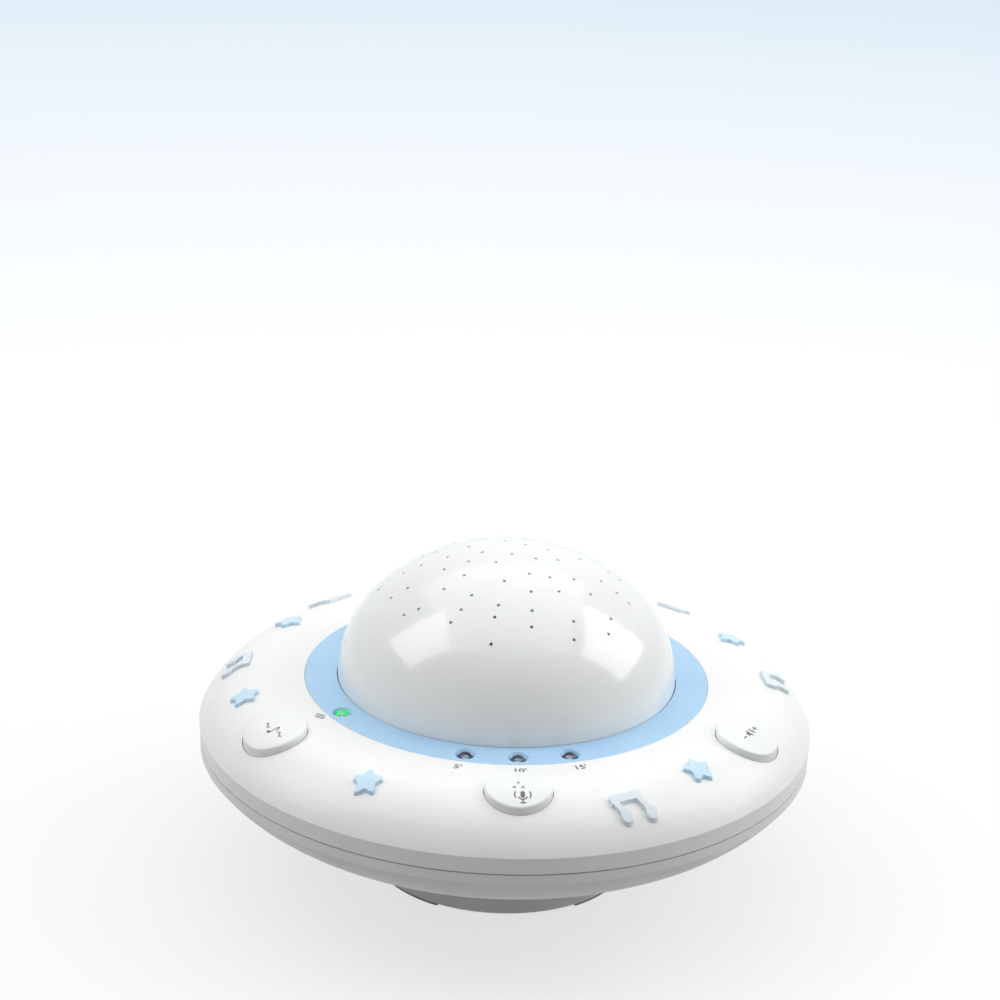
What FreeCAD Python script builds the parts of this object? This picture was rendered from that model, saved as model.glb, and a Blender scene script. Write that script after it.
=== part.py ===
import FreeCAD, Part
import os
from math import acos, atan2, cos, hypot, radians, sin, sqrt

os.makedirs("parts", exist_ok=True)

V = FreeCAD.Vector
UP = V(0, 0, 1)
ORIGIN = V(0, 0, 0)

# Star night light projector: a saucer-shaped housing with a star-pierced dome.
# Millimetres, Z up from the table, the front with the microphone pad towards -Y.
# Azimuths are degrees from the front, positive towards +X.

# Saucer
RIM_R = 105.0
CREASE_Z = 53.6
PARTING_Z = 47.7
BAND_LOW_Z = 44.3
BAND_DRAFT = 0.35
PARTING_GAP = 0.5
WALL = 2.3
DECK_Z = 68.5
DECK_CROWN_R = 200.0
DECK_SHOULDER_R = 26.0

# Foot and dish of the lower housing
FOOT_R = 45.8
FOOT_DRAFT = 0.5
FOOT_EDGE = 0.8
FOOT_TOP_Z = 16.2
DISH_START = 1.8
DISH_STEP = 0.4
BOWL_START = 6.0
BOWL_BELLY_R = 102.0
BOWL_LIP_R = 46.0
PLATE_T = 2.4

# Rubber feet let into the foot plate
PAD_STANDOFF = 1.0
PAD_RECESS = 0.8
PAD_WIDTH = 4.0
PAD_INSET = 1.2
PAD_HALF_ANGLE = 13.0
PAD_COUNT = 4

# Tongue of the lower housing inside the rim of the upper one
TONGUE_T = 1.6
TONGUE_H = 3.0
TONGUE_GAP = 0.2

# Trim ring round the dome and the seat under it
RING_OUTER_R = 69.1
RING_RISE = 0.7
RING_T = 2.2
RING_SIDE_GAP = 0.12
SEAT_T = 2.0
SEAT_WEB = 2.3
RING_BOSS_R = 2.6
RING_BOSS_GAP = 0.15

# Dome
DOME_R = 57.9
DOME_RISE = 46.0
DOME_SIDE_R = 38.0
DOME_WALL = 2.0
DOME_GAP = 0.25
DOME_FLANGE_T = 2.1
DOME_FLANGE_W = 3.1
DOME_EAR_R = 4.2
STAR_HOLES = 72
STAR_HOLE_R = 0.85
STAR_HOLE_WAIST = 0.42
STAR_FIELD_R = 44.5
STAR_SCATTER = 1.6
GOLDEN_ANGLE = 137.508

# Ring screws that clamp trim ring, seat and dome flange together
RING_SCREW_AZ = (-142.0, -38.0, 38.0, 142.0)
RING_SCREW_SHAFT_R = 1.15
RING_SCREW_HEAD_R = 2.4
RING_SCREW_HEAD_H = 1.6
RING_SCREW_COVER = 1.1

# Indicator lamps in the trim ring
LAMP_ORBIT_R = 64.3
SOUND_LAMP_AZ = -61.5
TIMER_LAMP_STEP = 15.3
LED_R = 2.5
LED_TOP_PROUD = 0.7
LED_LENGTH = 8.6
LED_FLANGE_R = 2.85
LED_FLANGE_H = 1.0
LED_LEAD_R = 0.28
LED_LEAD_PITCH = 2.54
LED_HOLE_GAP = 0.2
LED_DIMPLE_R = 3.4
LED_DIMPLE_H = 1.0
SPACER_WALL = 0.8

# Raised oval pads on the deck: azimuth, orbit radius, half width and half depth
MODE_PAD = (-61.9, 89.0, 12.3, 10.1)
MIC_PAD = (-0.8, 86.4, 11.0, 9.1)
VOLUME_PAD = (60.3, 89.0, 12.3, 10.1)
PAD_RAISE = 2.2
PAD_EDGE = 0.9
PAD_HOLE_GAP = 0.25
PAD_FLANGE = 1.5
PAD_FLANGE_T = 1.2
PAD_FLANGE_GAP = 0.3
PAD_SHELL = 1.9
BUTTON_TRAVEL = 0.8
STEM_R = 2.6

# Microphone in its rubber boot
MIC_PAD_BOSS_R = 6.4
MIC_CAVITY_R = 3.85
MIC_HOLE_R = 0.6
MIC_HOLE_RING = 1.6
MIC_R = 4.85
MIC_H = 5.6
MIC_FIT = 0.05
MIC_BEVEL = 0.5
MIC_PORT_R = 1.0
MIC_PORT_DEPTH = 0.6
BOOT_WALL = 1.3
BOOT_H = 7.2

# Inlays on the deck: stars and beamed notes
INLAY_RAISE = 1.2
INLAY_RECESS = 0.6
INLAY_GAP = 0.08
STAR_R = 6.1
STAR_WAIST = 3.0
STAR_TIP_ROUND = 0.9
NOTE_WIDTH = 10.8
NOTE_BEAM_H = 2.8
NOTE_BEAM_RISE = 0.8
NOTE_STEM_W = 2.1
NOTE_HEIGHT = 9.3
NOTE_HEAD_R = 1.9
NOTE_SLANT = 2.5
# Azimuth, orbit radius and turn of the top point away from the dome's side
STARS = (
    (-32.1, 91.9, -17.0),
    (39.9, 90.3, 10.0),
    (-80.3, 90.5, -12.0),
    (-122.0, 88.5, 10.0),
    (113.0, 89.5, -15.0),
    (157.0, 90.0, 20.0),
    (-161.0, 90.0, -8.0),
)
NOTES = ((20.5, 96.1), (-100.0, 93.5), (91.0, 93.5), (-141.0, 94.0), (135.0, 94.0), (180.0, 94.0))

# Main board under the deck
BOARD_TOP_Z = 55.0
BOARD_T = 1.6
BOARD_INNER_R = 60.5
BOARD_OUTER_R = 98.0
BOARD_HALF_ANGLE = 78.0
BOARD_SCREWS = ((91.0, -43.0), (91.0, 43.0), (68.0, -74.0), (68.0, 74.0))
BOARD_BOSS_R = 2.8
BOARD_SCREW_SHAFT_R = 1.0
BOARD_SCREW_HEAD_R = 2.4
BOARD_SCREW_HEAD_H = 1.5
BOARD_SCREW_L = 6.0
PILOT_GAP = 0.05

# Push switches on the main board
SWITCH_W = 6.2
SWITCH_H = 3.6
PLUNGER_R = 1.75
PLUNGER_FIT = 0.05
PLUNGER_PROUD = 1.4
PLUNGER_DEPTH = 0.7
PLUNGER_FLOOR = 0.1

# Parts on the main board: azimuth, orbit radius and size
CHIP_AZ = -22.0
CHIP_ORBIT_R = 84.0
CHIP_SIZE = (7.5, 10.3, 2.3)
CAPACITOR_AZ = 24.0
CAPACITOR_ORBIT_R = 84.0
CAPACITOR_R = 3.1
CAPACITOR_H = 7.0
PLUG_AZ = 50.0
PLUG_ORBIT_R = 72.0
PLUG_SIZE = (12.4, 5.8, 6.0)

# Housing posts and screws
POST_ORBIT_R = 80.0
POST_AZ = (-130.0, -36.0, 36.0, 130.0)
POST_R = 5.3
POST_TOP_Z = 46.0
UPPER_POST_R = 4.0
UPPER_POST_GAP = 0.6
WELL_R = 3.4
WELL_TOP_Z = 36.0
HOUSING_SCREW_SHAFT_R = 1.5
HOUSING_SCREW_HEAD_R = 2.8
HOUSING_SCREW_HEAD_H = 2.2
HOUSING_SCREW_L = 18.0
SCREW_CLEARANCE = 0.25

# Battery bay and cells
CELL_R = 7.15
CELL_L = 50.5
CELL_NUB_R = 2.7
CELL_NUB_H = 1.1
CELL_COUNT = 3
CELL_PITCH = 14.6
CELL_FLOOR_GAP = 0.3
BAY_SIDE_GAP = 0.3
BAY_SPRING_SPACE = 6.2
BAY_WALL = 1.6
BAY_ROOF_GAP = 0.6
CONTACT_T = 0.4
CONTACT_W = 8.0
CONTACT_FLOOR = 4.2

# Battery door with hinge tabs, captive screw and threaded insert
DOOR_T = 2.0
DOOR_INSET = 0.2
DOOR_GAP = 0.25
DOOR_LAND = 2.2
DOOR_LIFT_GAP = 0.05
TAB_X = 14.0
TAB_W = 9.0
TAB_T = 1.2
TAB_REACH = 2.9
TAB_ROOT = 2.4
TAB_GAP = 0.1
TAB_SLOT_H = 4.4
TAB_SLOT_GAP = 0.4
EAR_OUT = 3.5
EAR_R = 4.6
RIB_W = 1.2
RIB_H = 1.6
RIB_L = 36.0
DOOR_SCREW_SHAFT_R = 1.45
DOOR_SCREW_HEAD_R = 2.7
DOOR_SCREW_HEAD_H = 1.3
DOOR_SCREW_REACH = 4.8
DOOR_SCREW_FIT = 0.05
INSERT_WALL = 0.9
INSERT_H = 6.0
INSERT_SWING_GAP = 0.45
BOSS_WALL = 1.6

# Power slide switch on the underside
POWER_X = 34.5
POWER_TRAVEL = 4.0
KNOB_W = 4.8
KNOB_L = 5.0
KNOB_GAP = 0.15
KNOB_INSET = 0.35
KNOB_FLANGE_W = 7.2
KNOB_FLANGE_L = 11.0
KNOB_FLANGE_T = 0.9
KNOB_FLANGE_GAP = 0.08
POWER_BODY = (10.4, 19.0, 5.4)
KNOB_RIDGES = 3

# Speaker behind slots in the dish
SPEAKER_Y = 67.0
SPEAKER_SEAT_Z = 33.0
SPEAKER_R = 18.8
SPEAKER_FLANGE_T = 1.2
SPEAKER_SEAT_W = 1.8
SPEAKER_BASKET_H = 8.3
SPEAKER_BASKET_T = 0.9
MAGNET_R = 10.0
MAGNET_H = 6.0
CONE_T = 0.4
CONE_GAP = 0.1
CONE_TOP_R = 4.5
SLOT_W = 2.0
SLOT_PITCH = 4.2
SLOT_FIELD_R = 15.2
SPEAKER_SCREW_R = 1.0
SPEAKER_SCREW_HEAD_R = 2.8
SPEAKER_BOSS_R = 2.5
SPEAKER_SCREW_L = 4.0
SPEAKER_SCREW_AZ = (0.0, 120.0, 240.0)

# Lamp tower, lamp board and projection lamp
TOWER_FLANGE_R = 20.0
TOWER_FLANGE_T = 2.4
TOWER_FOOT_R = 12.5
TOWER_HEAD_R = 9.0
TOWER_TOP_Z = 64.0
TOWER_CAP_R = 14.0
TOWER_CAP_T = 2.0
TOWER_BORE_R = 6.5
TOWER_RIB_T = 1.6
TOWER_RIB_H = 26.0
TOWER_SCREW_ORBIT = 16.6
TOWER_SCREW_SHAFT_R = 1.1
TOWER_SCREW_HEAD_R = 2.2
TOWER_SCREW_HEAD_H = 1.5
TOWER_SCREW_BITE = 1.4
LAMP_BOARD_R = 13.5
LAMP_BOARD_T = 1.6
LAMP_SIZE = 5.0
LAMP_BASE_H = 1.2
LAMP_LENS_R = 2.2
LAMP_SCREW_ORBIT = 10.4
LAMP_SCREW_SHAFT_R = 0.9
LAMP_SCREW_HEAD_R = 1.8
LAMP_SCREW_HEAD_H = 1.2
LAMP_SCREW_BITE = 1.6

# Heights and radii that follow from the sizes above
FOOT_Z = PAD_STANDOFF
PLATE_TOP_Z = FOOT_Z + PLATE_T
SEAT_Z = DECK_Z - RING_T
SEAT_LOW_Z = SEAT_Z - SEAT_T
RING_INNER_R = DOME_R + DOME_GAP
RING_TOP_Z = DECK_Z + RING_RISE
DOME_FLANGE_Z = SEAT_LOW_Z - DOME_FLANGE_T
DOME_SIDE_X = DOME_R - DOME_SIDE_R
CROWN_R = (DOME_RISE ** 2 + DOME_SIDE_X ** 2 - DOME_SIDE_R ** 2) / (2 * (DOME_RISE - DOME_SIDE_R))
CROWN_DROP = CROWN_R - DOME_RISE
CROWN_CENTRE_Z = RING_TOP_Z - CROWN_DROP
DISH_R = FOOT_R + DISH_START - FOOT_DRAFT
DISH_Z = FOOT_TOP_Z + DISH_STEP
BAND_R = RIM_R - BAND_DRAFT
RING_EDGE_R = RING_OUTER_R + RING_SIDE_GAP
LAYER_R = RIM_R - 3.0
BOARD_LOW_Z = BOARD_TOP_Z - BOARD_T
SWITCH_TOP_Z = BOARD_TOP_Z + SWITCH_H
PLUNGER_TOP_Z = SWITCH_TOP_Z + PLUNGER_PROUD
DOOR_LOW_Z = FOOT_Z + DOOR_INSET
DOOR_TOP_Z = DOOR_LOW_Z + DOOR_T
BAY_LOW_Z = DOOR_TOP_Z + DOOR_LIFT_GAP
CELL_Z = DOOR_TOP_Z + CELL_FLOOR_GAP + CELL_R
BAY_HALF_X = (CELL_COUNT - 1) * CELL_PITCH / 2 + CELL_R + BAY_SIDE_GAP
BAY_HALF_Y = (CELL_L + BAY_SPRING_SPACE) / 2 + CONTACT_T
BAY_ROOF_Z = CELL_Z + CELL_R + BAY_ROOF_GAP
BAY_TOP_Z = BAY_ROOF_Z + BAY_WALL
DOOR_HALF_X = BAY_HALF_X + DOOR_LAND
DOOR_HALF_Y = BAY_HALF_Y + DOOR_LAND
EAR_Y = -(DOOR_HALF_Y + EAR_OUT)
KNOB_Y = POWER_TRAVEL / 2
LED_TOP_Z = DECK_Z + RING_RISE * (RING_OUTER_R - LAMP_ORBIT_R) / (RING_OUTER_R - RING_INNER_R) + LED_TOP_PROUD
LED_LOW_Z = LED_TOP_Z - LED_LENGTH
INDICATORS = {
    "sound_lamp": SOUND_LAMP_AZ,
    "timer_lamp_1": -TIMER_LAMP_STEP,
    "timer_lamp_2": 0.0,
    "timer_lamp_3": TIMER_LAMP_STEP,
}


# Curves of the saucer

def touching_arcs(centre, radius, spot, lip_r, side):
    """A face of the saucer: an arc about centre and a tighter one that touches it and ends at spot."""
    gap = radius - lip_r
    dx = spot[0] - centre[0]
    dz = spot[1] - centre[1]
    apart = hypot(dx, dz)
    along = (gap ** 2 - lip_r ** 2 + apart ** 2) / (2 * apart)
    off = side * sqrt(gap ** 2 - along ** 2)
    lip = (centre[0] + (along * dx - off * dz) / apart, centre[1] + (along * dz + off * dx) / apart)
    return centre, radius, lip, lip_r, side


DECK = touching_arcs(
    (RING_OUTER_R, DECK_Z - DECK_CROWN_R), DECK_CROWN_R, (RIM_R, CREASE_Z), DECK_SHOULDER_R, 1)
BOWL = touching_arcs(
    (DISH_R - BOWL_BELLY_R * sin(radians(BOWL_START)), DISH_Z + BOWL_BELLY_R * cos(radians(BOWL_START))),
    BOWL_BELLY_R, (BAND_R, BAND_LOW_Z), BOWL_LIP_R, -1)


def arc(centre, radius, start, end):
    """An arc in the XZ plane about centre (x, z), between two angles from +X."""
    spots = []
    for angle in (start, (start + end) / 2, end):
        spots.append(V(centre[0] + radius * cos(angle), 0, centre[1] + radius * sin(angle)))
    return Part.Arc(*spots).toShape()


def face_arcs(face, depth, r_from, r_to):
    """A face's two arcs, moved into the wall by depth, running from one radius to another."""
    centre, radius, lip, lip_r, side = face
    meet = atan2(lip[1] - centre[1], lip[0] - centre[0])
    near = side * acos((min(r_from, r_to) - centre[0]) / (radius - depth))
    far = side * acos((max(r_from, r_to) - lip[0]) / (lip_r - depth))
    if r_from < r_to:
        return arc(centre, radius - depth, near, meet), arc(lip, lip_r - depth, meet, far)
    return arc(lip, lip_r - depth, far, meet), arc(centre, radius - depth, meet, near)


def face_z(face, r):
    """Height of a face at radius r."""
    centre, radius, lip, lip_r, side = face
    if (r - centre[0]) * (radius - lip_r) > (lip[0] - centre[0]) * radius:
        return lip[1] + side * sqrt(lip_r ** 2 - (r - lip[0]) ** 2)
    return centre[1] + side * sqrt(radius ** 2 - (r - centre[0]) ** 2)


# Building helpers

def profile(*pieces):
    """A closed face in the XZ plane from points (r, z) and ready edges, in order."""
    edges = []
    ends = []
    for piece in pieces:
        if isinstance(piece, tuple):
            ends.append((V(piece[0], 0, piece[1]),) * 2)
        else:
            edges.append(piece)
            ends.append((piece.Vertexes[0].Point, piece.Vertexes[-1].Point))
    for (_, end), (start, _) in zip(ends, ends[1:] + ends[:1]):
        if end.distanceToPoint(start) > 1e-6:
            edges.append(Part.LineSegment(end, start).toShape())
    return Part.Face(Part.Wire(Part.__sortEdges__(edges)))


def turned(*pieces):
    """A solid of revolution about the Z axis from the profile's pieces."""
    return profile(*pieces).revolve(ORIGIN, UP, 360)


def rod(radius, low, high, x=0.0, y=0.0):
    """An upright cylinder."""
    return Part.makeCylinder(radius, high - low, V(x, y, low))


def pipe(outer, inner, low, high, x=0.0, y=0.0):
    """An upright tube."""
    return rod(outer, low, high, x, y).cut(rod(inner, low, high, x, y))


def block(x0, x1, y0, y1, z0, z1):
    """A box between two corners."""
    return Part.makeBox(x1 - x0, y1 - y0, z1 - z0, V(x0, y0, z0))


def sector(r_in, r_out, half_angle, low, high):
    """A piece of a flat ring, centred on the front."""
    start = V(0, 0, low)
    height = high - low
    wedge = Part.makeCylinder(r_out, height, start, UP, 2 * half_angle)
    wedge.rotate(ORIGIN, UP, -90 - half_angle)
    return wedge.cut(Part.makeCylinder(r_in, height, start))


def at(shape, azimuth):
    """The shape, built at the front, turned to an azimuth."""
    copy = shape.copy()
    copy.rotate(ORIGIN, UP, azimuth)
    return copy


def place(radius, azimuth):
    """X and Y of a point on an orbit."""
    return radius * sin(radians(azimuth)), -radius * cos(radians(azimuth))


def joined(first, *others):
    """One solid from touching pieces."""
    return first.fuse(list(others)).removeSplitter()


def plate_of(points, low, height):
    """An upright prism from a closed list of corner points (x, y)."""
    corners = [V(x, y, low) for x, y in points]
    return Part.Face(Part.makePolygon(corners + corners[:1])).extrude(V(0, 0, height))


def pan_screw(x, y, seat_z, shaft_r, head_r, head_h, reach, drive=False):
    """A screw driven from below: bevelled head under seat_z, shaft upwards, cross recess on request."""
    bevel = head_h * 0.4
    low = seat_z - head_h
    head = rod(head_r, low + bevel, seat_z, x, y)
    face = Part.makeCone(head_r - bevel, head_r, bevel, V(x, y, low))
    screw = joined(rod(shaft_r, seat_z, seat_z + reach, x, y), head, face)
    if not drive:
        return screw
    arm = head_r * 0.6
    half = head_r * 0.13
    deep = low + head_h * 0.5
    cross = block(x - arm, x + arm, y - half, y + half, low, deep)
    return screw.cut(cross.fuse(block(x - half, x + half, y - arm, y + arm, low, deep)))


def deck_layer(low, high):
    """The layer between two heights above the deck's face, measured square to it."""
    return turned(*face_arcs(DECK, -high, RING_OUTER_R, LAYER_R), *face_arcs(DECK, -low, LAYER_R, RING_OUTER_R))


def below_deck(lift):
    """Everything inside the housing under the deck's face moved up by lift."""
    floor = POST_TOP_Z
    return turned((0, floor), (0, DECK_Z + lift), *face_arcs(DECK, -lift, RING_OUTER_R, LAYER_R), (LAYER_R, floor))


# Housing

def upper_posts():
    """Posts that take the housing screws."""
    pilot = HOUSING_SCREW_SHAFT_R + PILOT_GAP
    depth = WELL_TOP_Z + HOUSING_SCREW_L + UPPER_POST_GAP
    posts = []
    for azimuth in POST_AZ:
        x, y = place(POST_ORBIT_R, azimuth)
        posts.append(rod(UPPER_POST_R, POST_TOP_Z, DECK_Z, x, y).cut(rod(pilot, POST_TOP_Z, depth, x, y)))
    return posts


def board_bosses():
    """Bosses on the underside of the deck that carry the main board."""
    pilot = BOARD_SCREW_SHAFT_R + PILOT_GAP
    depth = BOARD_TOP_Z + BOARD_SCREW_L
    bosses = []
    for radius, azimuth in BOARD_SCREWS:
        x, y = place(radius, azimuth)
        boss = rod(BOARD_BOSS_R, BOARD_TOP_Z, DECK_Z, x, y)
        bosses.append(boss.cut(rod(pilot, BOARD_TOP_Z, depth, x, y)))
    return bosses


def upper_housing():
    """Deck, rim and the seat of the trim ring, with posts and bosses."""
    seat_in = DOME_R + DOME_GAP
    web = RING_EDGE_R + SEAT_WEB
    low = PARTING_Z + PARTING_GAP / 2
    rim_in = RIM_R - WALL
    shell = turned(
        (seat_in, SEAT_LOW_Z),
        (seat_in, SEAT_Z),
        (RING_EDGE_R, SEAT_Z),
        *face_arcs(DECK, 0, RING_EDGE_R, RIM_R),
        (BAND_R, low),
        (rim_in, low),
        *face_arcs(DECK, WALL, rim_in, web),
        (web, SEAT_LOW_Z),
    )
    seat = rod(RING_EDGE_R, SEAT_Z - SEAT_T / 2, DECK_Z)
    core = below_deck(-WALL / 2).cut(seat)
    extras = [piece.common(core) for piece in upper_posts() + board_bosses()]
    body = joined(shell, *extras)
    return body.cut(Part.Compound(deck_openings()))


def deck_openings():
    """Pad holes, inlay recesses and seat holes that are cut from the upper housing."""
    cuts = [prism for _, prism in inlay_prisms(INLAY_GAP, INLAY_RECESS)]
    for pad in (MODE_PAD, MIC_PAD, VOLUME_PAD):
        cuts.append(at(pad_prism(pad, PAD_HOLE_GAP), pad[0]))
    for azimuth in INDICATORS.values():
        x, y = place(LAMP_ORBIT_R, azimuth)
        cuts.append(rod(LED_R + LED_HOLE_GAP, SEAT_LOW_Z - 1, SEAT_Z + 1, x, y))
    for azimuth in RING_SCREW_AZ:
        x, y = place(LAMP_ORBIT_R, azimuth)
        cuts.append(rod(RING_BOSS_R + RING_BOSS_GAP, SEAT_LOW_Z - 1, SEAT_Z + 1, x, y))
    return cuts


def lower_shell():
    """Foot, dish, bowl, lower rim band and tongue, turned about the Z axis."""
    high = PARTING_Z - PARTING_GAP / 2
    rim_in = RIM_R - WALL
    tongue_out = rim_in - TONGUE_GAP
    tongue_in = tongue_out - TONGUE_T
    foot_in = FOOT_R - FOOT_DRAFT - WALL
    return turned(
        (0, FOOT_Z),
        (FOOT_R - FOOT_EDGE, FOOT_Z),
        (FOOT_R, FOOT_Z + FOOT_EDGE),
        (FOOT_R - FOOT_DRAFT, FOOT_TOP_Z),
        *face_arcs(BOWL, 0, DISH_R, BAND_R),
        (BAND_R, high),
        (tongue_out, high),
        (tongue_out, PARTING_Z + TONGUE_H),
        (tongue_in, PARTING_Z + TONGUE_H),
        *face_arcs(BOWL, WALL, tongue_in, foot_in),
        (foot_in, PLATE_TOP_Z),
        (0, PLATE_TOP_Z),
    )


def lower_core():
    """The space inside the outer skin of the lower housing."""
    half = WALL / 2
    foot = FOOT_R - FOOT_DRAFT - half
    return turned(
        (0, FOOT_Z + half),
        (foot, FOOT_Z + half),
        *face_arcs(BOWL, half, foot, LAYER_R),
        (LAYER_R, POST_TOP_Z),
        (0, POST_TOP_Z),
    )


def door_outline(grow, low, high):
    """The battery door's plan, with its screw ear, as a prism."""
    half_x = DOOR_HALF_X + grow
    half_y = DOOR_HALF_Y + grow
    ear = EAR_R + grow
    plan = block(-half_x, half_x, -half_y, half_y, low, high)
    neck = block(-ear, ear, EAR_Y, -half_y + 1, low, high)
    return joined(plan, neck, rod(ear, low, high, 0, EAR_Y))


def speaker_places():
    """Centres of the speaker's screws."""
    orbit = SPEAKER_R + 2.0
    spots = []
    for azimuth in SPEAKER_SCREW_AZ:
        x, y = place(orbit, azimuth)
        spots.append((x, y + SPEAKER_Y))
    return spots


def lower_additions():
    """Battery bay walls, posts, speaker seat and bosses of the lower housing."""
    wall = BAY_WALL
    pieces = [block(-BAY_HALF_X - wall, BAY_HALF_X + wall, -BAY_HALF_Y - wall, BAY_HALF_Y + wall,
                    BAY_LOW_Z, BAY_TOP_Z)]
    for azimuth in POST_AZ:
        x, y = place(POST_ORBIT_R, azimuth)
        pieces.append(rod(POST_R, FOOT_Z, POST_TOP_Z, x, y))
    pieces.append(pipe(SPEAKER_R, SPEAKER_R - SPEAKER_SEAT_W, FOOT_Z, SPEAKER_SEAT_Z, 0, SPEAKER_Y))
    for x, y in speaker_places():
        boss = rod(SPEAKER_BOSS_R, FOOT_Z, SPEAKER_SEAT_Z + SPEAKER_FLANGE_T, x, y)
        recess = rod(SPEAKER_R + 0.15, SPEAKER_SEAT_Z, POST_TOP_Z, 0, SPEAKER_Y)
        inside = rod(SPEAKER_R - SPEAKER_SEAT_W, FOOT_Z, POST_TOP_Z, 0, SPEAKER_Y)
        pieces.append(boss.cut(recess).cut(inside))
    insert_r = DOOR_SCREW_SHAFT_R + INSERT_SWING_GAP + INSERT_WALL
    pieces.append(rod(insert_r + BOSS_WALL, BAY_LOW_Z, BAY_LOW_Z + INSERT_H + BOSS_WALL, 0, EAR_Y))
    return pieces


def speaker_slots():
    """Slots in the dish in front of the speaker."""
    count = int(SLOT_FIELD_R // SLOT_PITCH)
    slots = []
    for i in range(-count, count + 1):
        y = SPEAKER_Y + i * SLOT_PITCH
        half = sqrt(SLOT_FIELD_R ** 2 - (i * SLOT_PITCH) ** 2) - SLOT_W / 2
        slot = block(-half, half, y - SLOT_W / 2, y + SLOT_W / 2, FOOT_Z, SPEAKER_SEAT_Z)
        ends = [rod(SLOT_W / 2, FOOT_Z, SPEAKER_SEAT_Z, x, y) for x in (-half, half)]
        slots.append(joined(slot, *ends))
    return slots


def lower_openings():
    """Cuts in the lower housing: door, bay, wells, feet, switch and speaker."""
    below = FOOT_Z - 1
    cuts = [
        door_outline(DOOR_GAP, below, BAY_LOW_Z),
        block(-BAY_HALF_X, BAY_HALF_X, -BAY_HALF_Y, BAY_HALF_Y, below, BAY_ROOF_Z),
    ]
    for x in (-TAB_X, TAB_X):
        half = TAB_W / 2 + TAB_SLOT_GAP
        cuts.append(block(x - half, x + half, BAY_HALF_Y - 1, BAY_HALF_Y + BAY_WALL + 1,
                          BAY_LOW_Z - 0.1, BAY_LOW_Z + TAB_SLOT_H))
    for azimuth in POST_AZ:
        x, y = place(POST_ORBIT_R, azimuth)
        cuts.append(rod(WELL_R, below, WELL_TOP_Z, x, y))
        cuts.append(rod(HOUSING_SCREW_SHAFT_R + SCREW_CLEARANCE, WELL_TOP_Z, POST_TOP_Z + 1, x, y))
    insert_r = DOOR_SCREW_SHAFT_R + INSERT_SWING_GAP + INSERT_WALL
    cuts.append(rod(insert_r, below, BAY_LOW_Z + INSERT_H, 0, EAR_Y))
    cuts += [rubber_foot(azimuth) for azimuth in foot_azimuths()]
    half_x = KNOB_W / 2 + KNOB_GAP
    half_y = (KNOB_L + POWER_TRAVEL) / 2 + KNOB_GAP
    cuts.append(block(POWER_X - half_x, POWER_X + half_x, -half_y, half_y, below, PLATE_TOP_Z))
    for x, y in speaker_places():
        top = SPEAKER_SEAT_Z + SPEAKER_FLANGE_T
        cuts.append(rod(SPEAKER_SCREW_R + PILOT_GAP, top - SPEAKER_SCREW_L, top, x, y))
    for azimuth in range(0, 360, 120):
        x, y = place(TOWER_SCREW_ORBIT, azimuth)
        cuts.append(rod(TOWER_SCREW_SHAFT_R + PILOT_GAP, BAY_ROOF_Z, BAY_TOP_Z, x, y))
    return cuts + speaker_slots()


def lower_housing():
    """The lower half of the saucer with everything moulded into it."""
    core = lower_core()
    extras = [piece.common(core) for piece in lower_additions()]
    body = joined(lower_shell(), *extras)
    return body.cut(Part.Compound(lower_openings()))


def foot_azimuths():
    """Azimuths of the rubber feet."""
    return [(i + 0.5) * 360.0 / PAD_COUNT for i in range(PAD_COUNT)]


def rubber_foot(azimuth):
    """One curved rubber foot, let into the foot plate."""
    outer = FOOT_R - PAD_INSET
    return at(sector(outer - PAD_WIDTH, outer, PAD_HALF_ANGLE, 0, FOOT_Z + PAD_RECESS), azimuth)


def rubber_feet():
    """Four curved rubber feet as separate solids."""
    return Part.Compound([rubber_foot(azimuth) for azimuth in foot_azimuths()])


def housing_screws():
    """Four screws that hold the two housings together."""
    screws = []
    for azimuth in POST_AZ:
        x, y = place(POST_ORBIT_R, azimuth)
        screws.append(pan_screw(x, y, WELL_TOP_Z, HOUSING_SCREW_SHAFT_R, HOUSING_SCREW_HEAD_R,
                                HOUSING_SCREW_HEAD_H, HOUSING_SCREW_L, drive=True))
    return Part.Compound(screws)


# Dome and trim ring

def star_corners(radius, waist, turn=0.0, cx=0.0, cy=0.0):
    """Ten corners of a five-pointed star, its first point turned from +Y towards +X."""
    corners = []
    for i in range(10):
        reach = radius if i % 2 == 0 else waist
        angle = radians(turn + 36.0 * i)
        corners.append((cx + reach * sin(angle), cy + reach * cos(angle)))
    return corners


def star_hole(index, focus):
    """A star-shaped pin of light from the lamp through the dome's wall."""
    reach = STAR_FIELD_R * sqrt((index + 0.5) / STAR_HOLES)
    reach = min(STAR_FIELD_R, max(3.0, reach + STAR_SCATTER * sin(7.3 * index)))
    azimuth = GOLDEN_ANGLE * index + 6.0 * sin(3.1 * index)
    x, y = place(reach, azimuth)
    spot = V(x, y, crown_z(reach))
    ray = spot.sub(focus)
    ray.normalize()
    depth = 3 * DOME_WALL
    pin = plate_of(star_corners(STAR_HOLE_R, STAR_HOLE_WAIST, 31.0 * index), -depth, 2 * depth)
    pin.Placement = FreeCAD.Placement(spot, FreeCAD.Rotation(UP, ray))
    return pin


def dome_ears():
    """Ears of the dome's flange at the ring screws."""
    ears = []
    for azimuth in RING_SCREW_AZ:
        x, y = place(LAMP_ORBIT_R, azimuth)
        ears.append(rod(DOME_EAR_R, DOME_FLANGE_Z, SEAT_LOW_Z, x, y))
    return ears


def crown_z(reach):
    """Height of the dome's outer face at a radius within its crown."""
    return CROWN_CENTRE_Z + sqrt(CROWN_R ** 2 - reach ** 2)


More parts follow.
